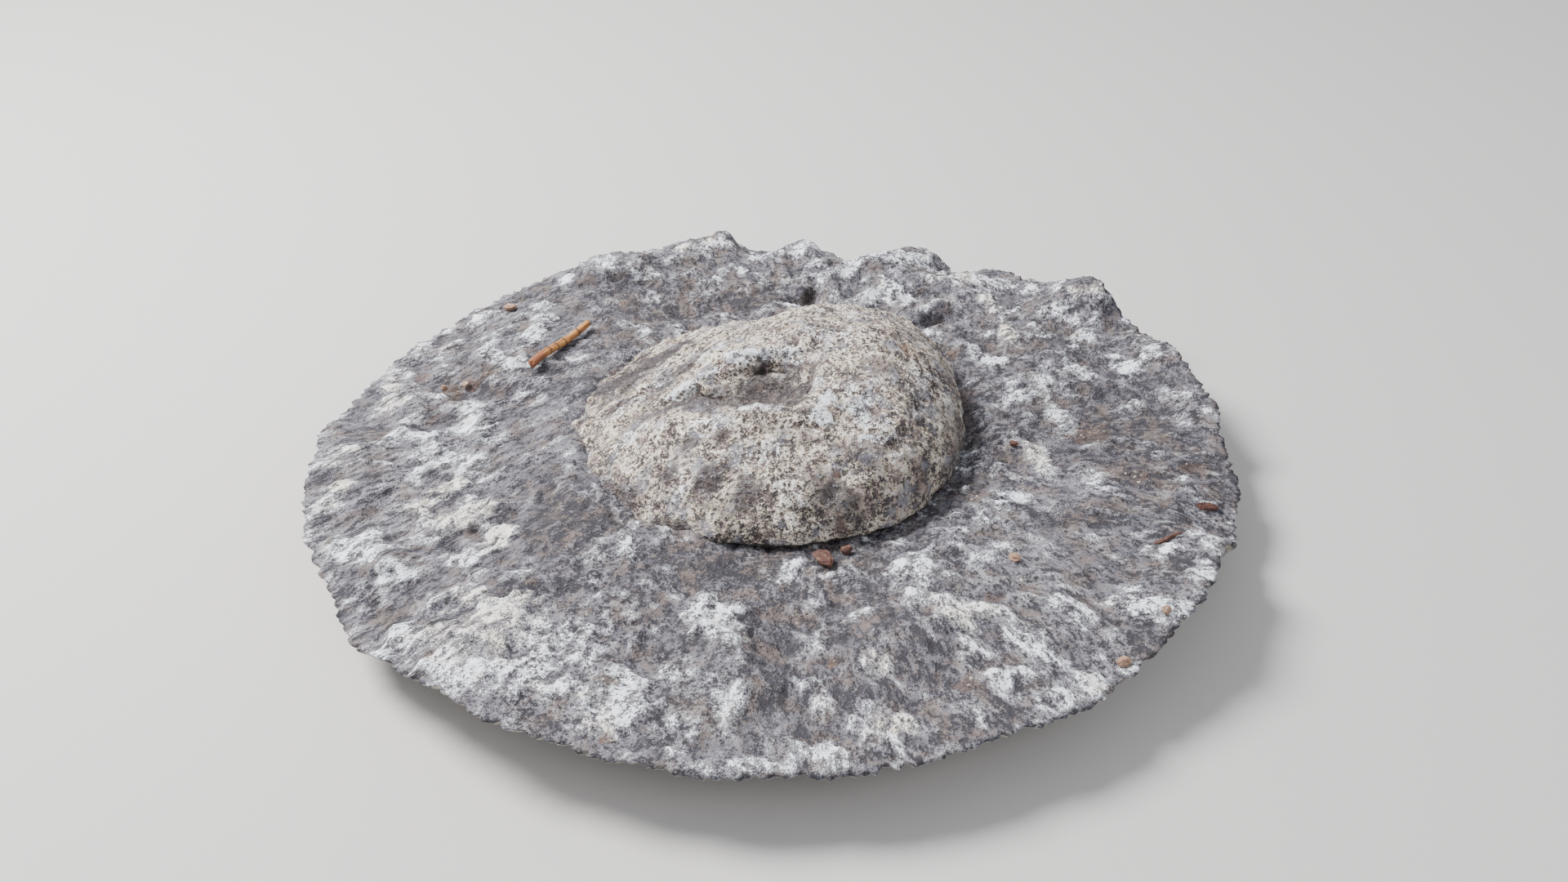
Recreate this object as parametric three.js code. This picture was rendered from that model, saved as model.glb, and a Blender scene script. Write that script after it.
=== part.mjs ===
// A fossil shell standing out of a round flake of limestone, with the dry litter that lies on the rock.
//
// The rock is a flake about 300 mm across. Its top is the weathered bedding surface, its rim is a thin
// broken lip and below the lip it is undercut down to a flat face that it rests on. The shell is a blunt,
// heart-shaped bivalve about 133 mm across that rises some 30 mm above the bed. Its lower valve sits in a
// bowl-shaped socket in the rock. On the right and at the front, weathering has opened a groove round the
// shell, and its flank overhangs the groove. On the left and at the back, the flank runs out flush with
// the bed.
//
// Units are millimetres and degrees. +Z is up, +X is to the right and +Y to the back. The origin is on
// the resting face, under the middle of the rock.

import * as THREE from "three";
import { ConvexGeometry } from "three/addons/geometries/ConvexGeometry.js";

// Driving dimensions.
const SLAB_RADIUS = 150; // the rock's rim, before its chips
const BED = 21; // mean height of the weathered surface above the resting face
const LIP = 3.2; // thickness of the broken edge
const LIP_SETBACK = 2.4; // the broken edge slants in by this much
const FOOT_RADIUS = 122; // edge of the flat resting face
const SHELL_MIDDLE = new THREE.Vector2(-2, 14); // the point that the shell's spokes run out from
const SHELL_RISE = 29.5; // the shell's back above the bed
const SHELL_BURIED = 13; // the lower valve's depth below the bed
const SEAT_GAP = 0.3; // between a loose bit and the rock under it
const SOCKET_GAP = 0.6; // between the shell and its socket, along the spokes
const SPOKES = 100; // points in each ring of the rock and the shell

// The shell's outline at the bed, as points that a smooth closed curve passes through.
const SHELL_OUTLINE = [
  [-69.5, 18],
  [-65, -4],
  [-56, -24],
  [-43, -38.5],
  [-24, -47.5],
  [1, -52.5],
  [27, -48],
  [46, -36],
  [57.5, -16],
  [62.5, 6],
  [63.8, 29],
  [61.8, 51],
  [54.5, 71],
  [39, 83.5],
  [15, 87],
  [-8, 83.5],
  [-31, 77],
  [-52, 60],
  [-65, 39],
];

// How the shell's flank meets the bed, at angles round its middle: the flank's width, how soon it levels
// off (bend) and how steeply it starts (power: under 1 a rounded shoulder, over 1 a soft run-out), how
// far it juts over its foot, and the depth of the groove outside it.
const FLANKS = [
  { angle: 0, width: 40, bend: 2.1, power: 0.5, overhang: 2.6, groove: 3.6 },
  { angle: 45, width: 58, bend: 1.7, power: 1.0, overhang: 1.2, groove: 1.6 },
  { angle: 90, width: 60, bend: 1.6, power: 1.4, overhang: 0.8, groove: 0.6 },
  { angle: 135, width: 68, bend: 1.3, power: 1.3, overhang: 0.7, groove: 0 },
  { angle: 180, width: 68, bend: 1.2, power: 1.2, overhang: 0.7, groove: 0 },
  { angle: 225, width: 60, bend: 1.8, power: 0.8, overhang: 0.9, groove: 1.4 },
  { angle: 270, width: 46, bend: 2.1, power: 0.55, overhang: 2.2, groove: 3 },
  { angle: 315, width: 40, bend: 2.1, power: 0.5, overhang: 2.6, groove: 3.6 },
];
const GROOVE_WIDTH = 7.5;

// The shell's back is a plane that climbs gently to the back right, with these swells and hollows on it.
const BACK_SLOPE = new THREE.Vector2(0.05, 0.03);
const SHELL_FORMS = [
  { at: [-4, -6], half: [16, 8], turn: -8, rise: -5.8 }, // hollow between the two lobes
  { at: [-30, -1], half: [20, 5.5], turn: -6, rise: -2.6 }, // its shallow tail to the left
  { at: [-4, -20], half: [14, 5.5], turn: -8, rise: 2.0 }, // brow of the front lobe
  { at: [-40, -14], half: [16, 9], turn: -25, rise: 2.6 }, // swell at the front lobe's left
  { at: [-10, 12], half: [22, 5.5], turn: 12, rise: 2.4 }, // ridge behind the hollow
  { at: [22, 22], half: [22, 12], turn: 10, rise: 1.2 }, // crown
  { at: [37, -12], half: [9, 26], turn: 4, rise: 1.6 }, // shoulder above the right flank
  { at: [27, 57], half: [24, 13], turn: -8, rise: -4 }, // fall behind the crown
];

// Swells and hollows of the bed. half is the reach of each along and across its own axis, which turn
// swings round.
const BED_FORMS = [
  { at: [41, 115], half: [26, 9], turn: 32, rise: 8 }, // mound at the back
  { at: [48, 102], half: [26, 11], turn: 26, rise: 4.5 }, // shelf in front of it
  { at: [22, 99], half: [8, 6], turn: 20, rise: 4 }, // its nose
  { at: [14, 95], half: [6, 4], turn: 0, rise: -5 }, // cavity under the nose
  { at: [10, 134], half: [12, 9], turn: 0, rise: 4 }, // knob
  { at: [76, 128], half: [14, 11], turn: -20, rise: -5 }, // dip at the back right
  { at: [118, 88], half: [17, 7], turn: 12, rise: 8 }, // spur
  { at: [60, 81], half: [10, 4], turn: 22, rise: 4 }, // ledge off the shell's back corner
  { at: [-28, 96], half: [46, 13], turn: -6, rise: -3.6 }, // smooth trough behind the shell
  { at: [-62, 122], half: [24, 9], turn: 24, rise: 3.6 }, // swell on the left of the back rim
  { at: [-92, 66], half: [20, 13], turn: 50, rise: 2.8 }, // crusted swell
  { at: [-112, 42], half: [20, 8], turn: -14, rise: -3 }, // pocket of soil
  { at: [-136, -12], half: [16, 42], turn: 6, rise: 4.5 }, // left swell
  { at: [-122, -72], half: [17, 8], turn: -30, rise: -5 }, // step down at the front left
  { at: [-84, -92], half: [34, 18], turn: -20, rise: 3.4 }, // front left bulge
  { at: [-18, -98], half: [11, 26], turn: 8, rise: 3.4 }, // rib towards the front
  { at: [6, -104], half: [13, 28], turn: 0, rise: -2.6 }, // trough beside the rib
  { at: [110, -95], half: [20, 6], turn: -12, rise: 5 }, // lip at the front right
  { at: [100, -112], half: [18, 7], turn: 40, rise: -3.4 }, // fall below the lip
  { at: [118, 14], half: [26, 17], turn: 10, rise: -4 }, // hollow on the right
  { at: [96, 44], half: [18, 15], turn: -30, rise: 2 }, // low swell above it
  { at: [48, -84], half: [30, 12], turn: 12, rise: 2 }, // low swell at the front
];

// Gentle waves that cross the whole bed: direction in degrees, length and height.
const BED_WAVES = [
  { towards: 20, length: 83, height: 0.7 },
  { towards: 105, length: 61, height: 0.6 },
  { towards: 158, length: 39, height: 0.5 },
  { towards: 64, length: 27, height: 0.4 },
];

// The rim line's height over the mean bed, at angles round the rock. It is ragged where the back edge
// broke, between 30 and 100 degrees, with gaps on either side of the knob at 85.
const RIM_LINE = [
  [1, -4],
  [8, 2.5],
  [19, 5],
  [24, 1],
  [29, -1],
  [34, 9],
  [38, 10],
  [42, 3],
  [46, -2],
  [55, -3],
  [60, -8],
  [66, -1],
  [71, -4],
  [76, -11],
  [80, -8],
  [85, -2.5],
  [89, -7],
  [93, -9],
  [96, 4],
  [100, 1],
  [110, -1],
  [117, 1.6],
  [129, -2],
  [145, -2],
  [157, -1],
  [171, 1],
  [181, 5],
  [196, 4],
  [206, -2],
  [212, -6],
  [222, -1],
  [232, 3.4],
  [245, 2],
  [260, 1],
  [272, 0],
  [290, 0.5],
  [308, -1],
  [319, 3],
  [324, 6],
  [329, 3.5],
  [335, 4],
  [341, -7],
  [350, -4],
];
const RIM_BLEND = 24; // width of the band in which the bed follows the rim line
const RIM_BULGE = { angle: 196, half: 22, out: 2.6 }; // the left side stands out a little from the round
const RIM_RIPPLES = [
  { count: 17, height: 0.7 },
  { count: 29, height: 0.5 },
];

// Places of the rings, from the shell's foot (0) to the rim (1), and from the shell's middle (0) to its
// outline (1).
const BED_RINGS = [0, 0.02, 0.05, 0.1, 0.16, 0.23, 0.31, 0.4, 0.5, 0.6, 0.7, 0.79, 0.87, 0.94, 1];
const SHELL_RINGS = [0.12, 0.24, 0.36, 0.47, 0.57, 0.66, 0.75, 0.83, 0.9, 0.95, 0.985, 1];

// The lower valve, as shares of the outline's radius and of its depth.
const LOWER_VALVE = [
  { radius: 0.9, depth: 0.42 },
  { radius: 0.68, depth: 0.78 },
  { radius: 0.36, depth: 0.96 },
];

// The twig runs between two points on the bed and is a little bent and thicker at the near end.
const TWIG = {
  from: [-86, 47.5],
  to: [-69, 76.5],
  radius: 1.4,
  taper: 0.82,
  bow: 0.6,
  sides: 10,
  steps: 10,
};

// Loose bits: where they lie, their length, width and thickness, and which way the length points.
const LITTER = [
  { name: "bark_chip", at: [13.5, -61.5], size: [9.4, 4.8, 3.2], turn: -62, material: "bark" },
  { name: "bark_crumb", at: [20.5, -56.2], size: [4, 3.2, 2.6], turn: 20, material: "bark" },
  { name: "seed_husk", at: [-100.5, 99], size: [5.4, 3.4, 2.4], turn: -20, material: "husk" },
  { name: "leaf_scrap", at: [136, -36.5], size: [9, 3, 1.1], turn: 8, material: "bark" },
  { name: "dry_needle", at: [118.3, -58], size: [11, 1.5, 1.2], turn: 18, material: "bark" },
  { name: "husk_grain_left", at: [-110, 44.5], size: [3, 2.4, 2], turn: 30, material: "husk" },
  { name: "husk_grain_far", at: [-117.5, 43.5], size: [2.6, 2, 1.6], turn: 0, material: "husk" },
  { name: "resin_crumb", at: [78.5, -4.5], size: [3.2, 2.2, 1.8], turn: -30, material: "husk" },
  { name: "stone_crumb", at: [71, -64.5], size: [4.2, 3.2, 2.4], turn: -40, material: "husk" },
  { name: "rim_crumb", at: [95, -111], size: [4.4, 3.4, 2.6], turn: 15, material: "husk" },
  { name: "lip_crumb", at: [109.5, -95], size: [3.4, 2.6, 2], turn: 50, material: "husk" },
];

const MATERIALS = {
  limestone: new THREE.MeshStandardMaterial({ color: 0x8c898d, roughness: 0.9, metalness: 0 }),
  shell: new THREE.MeshStandardMaterial({ color: 0xb5ac9f, roughness: 0.85, metalness: 0 }),
  twig: new THREE.MeshStandardMaterial({ color: 0xa9743f, roughness: 0.75, metalness: 0 }),
  bark: new THREE.MeshStandardMaterial({ color: 0x7d4a35, roughness: 0.8, metalness: 0 }),
  husk: new THREE.MeshStandardMaterial({ color: 0xb08a63, roughness: 0.8, metalness: 0 }),
};

const radians = THREE.MathUtils.degToRad;

// The height that a list of rounded swells and hollows adds at a point.
function formsAt(forms, x, y) {
  let sum = 0;
  for (const { at, half, turn, rise } of forms) {
    const cos = Math.cos(radians(turn));
    const sin = Math.sin(radians(turn));
    const along = ((x - at[0]) * cos + (y - at[1]) * sin) / half[0];
    const across = ((y - at[1]) * cos - (x - at[0]) * sin) / half[1];
    sum += rise * Math.exp(-(along * along + across * across));
  }
  return sum;
}

// The flank's values at an angle round the shell's middle, eased between the two nearest entries of
// FLANKS.
function flankAt(angle) {
  const share = THREE.MathUtils.euclideanModulo(THREE.MathUtils.radToDeg(angle), 360) / 360;
  const place = share * FLANKS.length;
  const before = FLANKS[Math.floor(place) % FLANKS.length];
  const after = FLANKS[(Math.floor(place) + 1) % FLANKS.length];
  const ease = THREE.MathUtils.smoothstep(place % 1, 0, 1);
  const mix = (key) => THREE.MathUtils.lerp(before[key], after[key], ease);
  return {
    width: mix("width"),
    bend: mix("bend"),
    power: mix("power"),
    overhang: mix("overhang"),
    groove: mix("groove"),
  };
}

// The shell's outline as radii on the spokes round its middle.
const outlineCurve = new THREE.CatmullRomCurve3(
  SHELL_OUTLINE.map(([x, y]) => new THREE.Vector3(x - SHELL_MIDDLE.x, y - SHELL_MIDDLE.y, 0)),
  true,
);
const fullTurn = (angle) => THREE.MathUtils.euclideanModulo(angle, 2 * Math.PI);
const outlinePoints = outlineCurve
  .getPoints(720)
  .map((p) => ({ angle: fullTurn(Math.atan2(p.y, p.x)), radius: Math.hypot(p.x, p.y) }))
  .sort((a, b) => a.angle - b.angle);

function shellRadius(angle) {
  const turned = fullTurn(angle);
  const next = outlinePoints.findIndex((p) => p.angle >= turned);
  return outlinePoints[Math.max(next, 0)].radius;
}

// The rock's rim at an angle round the origin: how far out it is, and its height over the mean bed.
function rimRadius(angle) {
  const turn = THREE.MathUtils.euclideanModulo(THREE.MathUtils.radToDeg(angle), 360);
  const bulge = RIM_BULGE.out * Math.exp(-(((turn - RIM_BULGE.angle) / RIM_BULGE.half) ** 2));
  const ripple = RIM_RIPPLES.reduce((sum, { count, height }) => sum + height * Math.sin(count * angle), 0);
  return SLAB_RADIUS + bulge + ripple;
}

function rimHeight(angle) {
  const turn = THREE.MathUtils.euclideanModulo(THREE.MathUtils.radToDeg(angle) - RIM_LINE[0][0], 360);
  const next = RIM_LINE.findIndex(([at]) => at - RIM_LINE[0][0] > turn);
  const after = next < 0 ? [RIM_LINE[0][0] + 360, RIM_LINE[0][1]] : RIM_LINE[next];
  const before = RIM_LINE.at(next < 0 ? -1 : next - 1);
  const share = (turn + RIM_LINE[0][0] - before[0]) / (after[0] - before[0]);
  return THREE.MathUtils.lerp(before[1], after[1], THREE.MathUtils.smoothstep(share, 0, 1));
}

// The weathered bed's height, with the groove round the shell.
function bedHeight(x, y) {
  let height = BED + formsAt(BED_FORMS, x, y);
  for (const { towards, length, height: wave } of BED_WAVES) {
    const along = x * Math.cos(radians(towards)) + y * Math.sin(radians(towards));
    height += wave * Math.sin((2 * Math.PI * along) / length);
  }
  const edge = THREE.MathUtils.smoothstep(Math.hypot(x, y), SLAB_RADIUS - RIM_BLEND, SLAB_RADIUS);
  height = THREE.MathUtils.lerp(height, BED + rimHeight(Math.atan2(y, x)), edge);
  const dx = x - SHELL_MIDDLE.x;
  const dy = y - SHELL_MIDDLE.y;
  const angle = Math.atan2(dy, dx);
  const outside = Math.max(Math.hypot(dx, dy) - shellRadius(angle), 0);
  return height - flankAt(angle).groove * Math.exp(-((outside / GROOVE_WIDTH) ** 2));
}

// The point on a spoke round the shell's middle, at a distance from it.
function onSpoke(angle, distance, height) {
  return new THREE.Vector3(
    SHELL_MIDDLE.x + distance * Math.cos(angle),
    SHELL_MIDDLE.y + distance * Math.sin(angle),
    height,
  );
}

// How far out along a spoke the rock's rim is.
function rimDistance(angle) {
  let distance = SLAB_RADIUS;
  for (let i = 0; i < 12; i++) {
    const p = onSpoke(angle, distance, 0);
    distance += rimRadius(Math.atan2(p.y, p.x)) - Math.hypot(p.x, p.y);
  }
  return distance;
}

// A ring of points, one on each spoke.
function ring(pointAt) {
  return Array.from({ length: SPOKES }, (_, i) => pointAt((2 * Math.PI * i) / SPOKES));
}

// A closed surface through rings that run from a top pole, outwards and down, to a bottom pole.
function closedSurface(top, rings, bottom) {
  const vertices = [top, ...rings.flat(), bottom];
  const faces = [];
  const at = (r, i) => 1 + r * SPOKES + (i % SPOKES);
  for (let i = 0; i < SPOKES; i++) {
    faces.push(0, at(0, i), at(0, i + 1));
    for (let r = 0; r + 1 < rings.length; r++) {
      faces.push(at(r, i), at(r + 1, i), at(r + 1, i + 1));
      faces.push(at(r, i), at(r + 1, i + 1), at(r, i + 1));
    }
    faces.push(at(rings.length - 1, i), vertices.length - 1, at(rings.length - 1, i + 1));
  }
  return new THREE.BufferGeometry().setFromPoints(vertices).setIndex(faces);
}

// Where the shell meets the bed on a spoke: its widest point, and its foot under the overhang.
function shellEdge(angle) {
  const radius = shellRadius(angle);
  const { overhang } = flankAt(angle);
  const p = onSpoke(angle, radius, 0);
  const ground = bedHeight(p.x, p.y);
  return { radius, ground, girth: ground + overhang, foot: radius - overhang };
}

// The height of the shell's upper valve at a share of the way out along a spoke.
function shellHeight(angle, share) {
  const { radius, girth } = shellEdge(angle);
  const { width, bend, power } = flankAt(angle);
  const p = onSpoke(angle, share * radius, 0);
  const climb = Math.min(((1 - share) * radius) / Math.min(width, 0.97 * radius), 1);
  const rise = (1 - (1 - climb) ** bend) ** power;
  const slope = (p.x - SHELL_MIDDLE.x) * BACK_SLOPE.x + (p.y - SHELL_MIDDLE.y) * BACK_SLOPE.y;
  const back = BED + SHELL_RISE + slope;
  return THREE.MathUtils.lerp(girth, back, rise) + rise * formsAt(SHELL_FORMS, p.x, p.y);
}

// The lower valve's rings and pole, or with a gap, the socket that it sits in.
function lowerValve(gap) {
  const foot = ring((angle) => {
    const edge = shellEdge(angle);
    return onSpoke(angle, edge.foot + gap, edge.ground);
  });
  const bowl = LOWER_VALVE.map(({ radius, depth }) =>
    ring((angle) => {
      const edge = shellEdge(angle);
      const sole = THREE.MathUtils.lerp(edge.ground, BED - SHELL_BURIED, depth);
      return onSpoke(angle, edge.foot * radius + gap, sole - gap);
    }),
  );
  const pole = onSpoke(0, 0, BED - SHELL_BURIED - gap);
  return { foot, bowl, pole };
}

function shellGeometry() {
  const upper = SHELL_RINGS.map((share) =>
    ring((angle) => onSpoke(angle, share * shellRadius(angle), shellHeight(angle, share))),
  );
  const { foot, bowl, pole } = lowerValve(0);
  const crown = onSpoke(0, 0, shellHeight(0, 0));
  return closedSurface(crown, [...upper, foot, ...bowl], pole);
}

function matrixGeometry() {
  const socket = lowerValve(SOCKET_GAP);
  const bed = BED_RINGS.map((share) =>
    ring((angle) => {
      const inner = shellEdge(angle).foot + SOCKET_GAP;
      const p = onSpoke(angle, THREE.MathUtils.lerp(inner, rimDistance(angle), share), 0);
      return p.setZ(share === 0 ? shellEdge(angle).ground : bedHeight(p.x, p.y));
    }),
  );
  const rim = bed[bed.length - 1];
  // Below the lip, the broken side runs in to the edge of the resting face, and stays a lip's thickness
  // below the bed.
  const side = [1, 0.5, 0].map((share) =>
    rim.map((edge) => {
      const out = Math.hypot(edge.x, edge.y);
      const radius = THREE.MathUtils.lerp(FOOT_RADIUS * (out / SLAB_RADIUS), out - LIP_SETBACK, share);
      const p = new THREE.Vector3((edge.x * radius) / out, (edge.y * radius) / out, 0);
      const slope = share * (edge.z - LIP);
      return p.setZ(share === 0 ? 0 : Math.min(slope, bedHeight(p.x, p.y) - LIP));
    }),
  );
  const rings = [...socket.bowl].reverse().concat(bed, side);
  return closedSurface(socket.pole, rings, new THREE.Vector3(0, 0, 0));
}

const matrix = new THREE.Mesh(matrixGeometry(), MATERIALS.limestone);
matrix.name = "matrix";
const shell = new THREE.Mesh(shellGeometry(), MATERIALS.shell);
shell.name = "shell";

// The height of the rock's surface, straight below a point.
const plumbLine = new THREE.Raycaster();
function groundAt(x, y) {
  plumbLine.set(new THREE.Vector3(x, y, 2 * BED + SHELL_RISE), new THREE.Vector3(0, 0, -1));
  return plumbLine.intersectObject(matrix)[0].point.z;
}

// Lowers a piece until the lowest clearance under its vertices is the seat gap.
function settle(mesh) {
  const position = mesh.geometry.getAttribute("position");
  mesh.updateMatrixWorld(true);
  let clearance = Infinity;
  for (let i = 0; i < position.count; i++) {
    const p = new THREE.Vector3().fromBufferAttribute(position, i).applyMatrix4(mesh.matrixWorld);
    clearance = Math.min(clearance, p.z - groundAt(p.x, p.y));
  }
  mesh.position.z -= clearance - SEAT_GAP;
}

function twigMesh() {
  const [from, to] = [TWIG.from, TWIG.to].map(([x, y]) => new THREE.Vector3(x, y, groundAt(x, y)));
  const length = from.distanceTo(to);
  const geometry = new THREE.CylinderGeometry(
    TWIG.radius * TWIG.taper,
    TWIG.radius,
    length,
    TWIG.sides,
    TWIG.steps,
  );
  const position = geometry.getAttribute("position");
  for (let i = 0; i < position.count; i++) {
    const share = position.getY(i) / length + 0.5;
    position.setX(i, position.getX(i) + TWIG.bow * Math.sin(Math.PI * share));
  }
  const mesh = new THREE.Mesh(geometry, MATERIALS.twig);
  mesh.quaternion.setFromUnitVectors(new THREE.Vector3(0, 1, 0), to.clone().sub(from).normalize());
  mesh.position.copy(from).lerp(to, 0.5);
  mesh.position.z += 3 * TWIG.radius;
  mesh.name = "twig";
  settle(mesh);
  return mesh;
}

// A loose bit is a flattened, slightly lopsided stone shape, tilted to lie along the slope beneath it.
function litterMesh({ name, at: [x, y], size, turn, material }) {
  const round = new THREE.IcosahedronGeometry(1, 1).getAttribute("position");
  const points = Array.from({ length: round.count }, (_, i) => {
    const p = new THREE.Vector3().fromBufferAttribute(round, i);
    return p.multiply(new THREE.Vector3(size[0] / 2, (size[1] / 2) * (1 - 0.25 * p.x), size[2] / 2));
  });
  const mesh = new THREE.Mesh(new ConvexGeometry(points), MATERIALS[material]);
  const step = size[1] / 2;
  const slopeX = (groundAt(x + step, y) - groundAt(x - step, y)) / (2 * step);
  const slopeY = (groundAt(x, y + step) - groundAt(x, y - step)) / (2 * step);
  const normal = new THREE.Vector3(-slopeX, -slopeY, 1).normalize();
  const spin = new THREE.Quaternion().setFromAxisAngle(new THREE.Vector3(0, 0, 1), radians(turn));
  mesh.quaternion.setFromUnitVectors(new THREE.Vector3(0, 0, 1), normal).multiply(spin);
  mesh.position.set(x, y, groundAt(x, y) + size[0]);
  mesh.name = name;
  settle(mesh);
  return mesh;
}

const group = new THREE.Group();
group.add(matrix, shell, twigMesh(), ...LITTER.map(litterMesh));

// The rock is centred on the origin.
const box = new THREE.Box3().setFromObject(matrix);
group.position.set(-(box.min.x + box.max.x) / 2, -(box.min.y + box.max.y) / 2, 0);

export default group;
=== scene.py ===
"""A fossil shell standing out of a round flake of limestone, with dry litter lying on the rock.

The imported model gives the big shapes: the rings of the rock's bed and of the shell's valves are
read back from its meshes, smoothed, and woven again with a fine relief of lumps, crusts, ledges
and pits. The finishes follow the same relief, through attributes kept on the points.

Lengths are in millimetres until a mesh is made. The frame is the model's own: +Z up, +X to the
right, +Y to the back, with the origin on the resting face under the middle of the rock.
"""

import logging
import math

from dataclasses import dataclass, field
from enum import Enum
from itertools import product
from typing import Any

import bpy
import numpy as np
from bpy.types import ID, Material, Mesh, NodeSocket, NodeTree, Object
from mathutils import Matrix, Vector
from mathutils.bvhtree import BVHTree


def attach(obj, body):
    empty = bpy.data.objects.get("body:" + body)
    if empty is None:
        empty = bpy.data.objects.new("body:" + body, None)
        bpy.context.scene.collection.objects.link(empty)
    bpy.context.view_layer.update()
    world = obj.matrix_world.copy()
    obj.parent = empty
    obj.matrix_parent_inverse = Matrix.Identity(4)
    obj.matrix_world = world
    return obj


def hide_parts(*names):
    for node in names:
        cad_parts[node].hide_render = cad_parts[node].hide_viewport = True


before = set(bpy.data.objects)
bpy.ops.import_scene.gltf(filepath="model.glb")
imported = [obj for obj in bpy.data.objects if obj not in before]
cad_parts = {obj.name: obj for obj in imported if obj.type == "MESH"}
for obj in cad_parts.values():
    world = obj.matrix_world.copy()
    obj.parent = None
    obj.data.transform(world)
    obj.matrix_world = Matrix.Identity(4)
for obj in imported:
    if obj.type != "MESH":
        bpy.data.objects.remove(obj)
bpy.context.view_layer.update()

LOG = logging.getLogger("fossil_shell")
MM = 0.001  # a millimetre, in the scene's metres

# Driving sizes shared by the pieces, in millimetres. The rock's centre is the point that its rim
# runs round; the shell's middle is the point that the model's rings run round.
SHELL_MIDDLE = np.array([-2.0, 14.0])  # from the rock's centre
BED = 21.0  # the bed's height over the resting face
SLAB_RADIUS = 150.0  # out to the rim
FOOT_RADIUS = 122.0  # out to the resting face's edge
LIP = 3.2  # how far the rim's lip goes down
LIP_SETBACK = 2.4  # how far the lip goes in on its way down
ON_AXIS = 0.1  # a point nearer than this to the shell's middle is on the rings' axis

Points = np.ndarray  # x, y and z of each point
Values = np.ndarray  # a number for each point


# -----------------------------------------------------------------------------
# Noise and smooth steps
# -----------------------------------------------------------------------------


def smooth(low: float, high: float, value: Values) -> Values:
    """Ease from 0 at low to 1 at high; a high below the low makes a falling step."""
    share = np.clip((value - low) / (high - low), 0.0, 1.0)
    return share * share * (3.0 - 2.0 * share)


def mix(start: Values, end: Values, share: Values) -> Values:
    """Return the values a share of the way from start to end."""
    return start + (end - start) * share


def turned(x: Values, y: Values, degrees: float) -> tuple[Values, Values]:
    """Return how far points lie along a direction in the plan, and to the left of it."""
    cos, sin = math.cos(math.radians(degrees)), math.sin(math.radians(degrees))
    return x * cos + y * sin, y * cos - x * sin


def catmull(rows: Values, place: Values, closed: bool) -> Values:
    """Run a smooth curve through rows of values.

    Args:
        rows: The values to pass through, one row each.
        place: Where to read the curve, in rows.
        closed: Whether the last row is followed by the first.

    Returns:
        One row for each place.
    """
    count = len(rows)
    before = np.floor(place).astype(int)
    if not closed:
        before = np.clip(before, 0, count - 2)
        rows = np.concatenate([2 * rows[:1] - rows[1:2], rows, 2 * rows[-1:] - rows[-2:-1]])
    share = (place - before).reshape(-1, *([1] * (rows.ndim - 1)))
    shift = 0 if closed else 1
    a, b, c, d = (rows[(before + step + shift) % len(rows)] for step in (-1, 0, 1, 2))
    return b + 0.5 * share * (
        c - a + share * (2 * a - 5 * b + 4 * c - d + share * (3 * (b - c) + d - a))
    )


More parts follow.
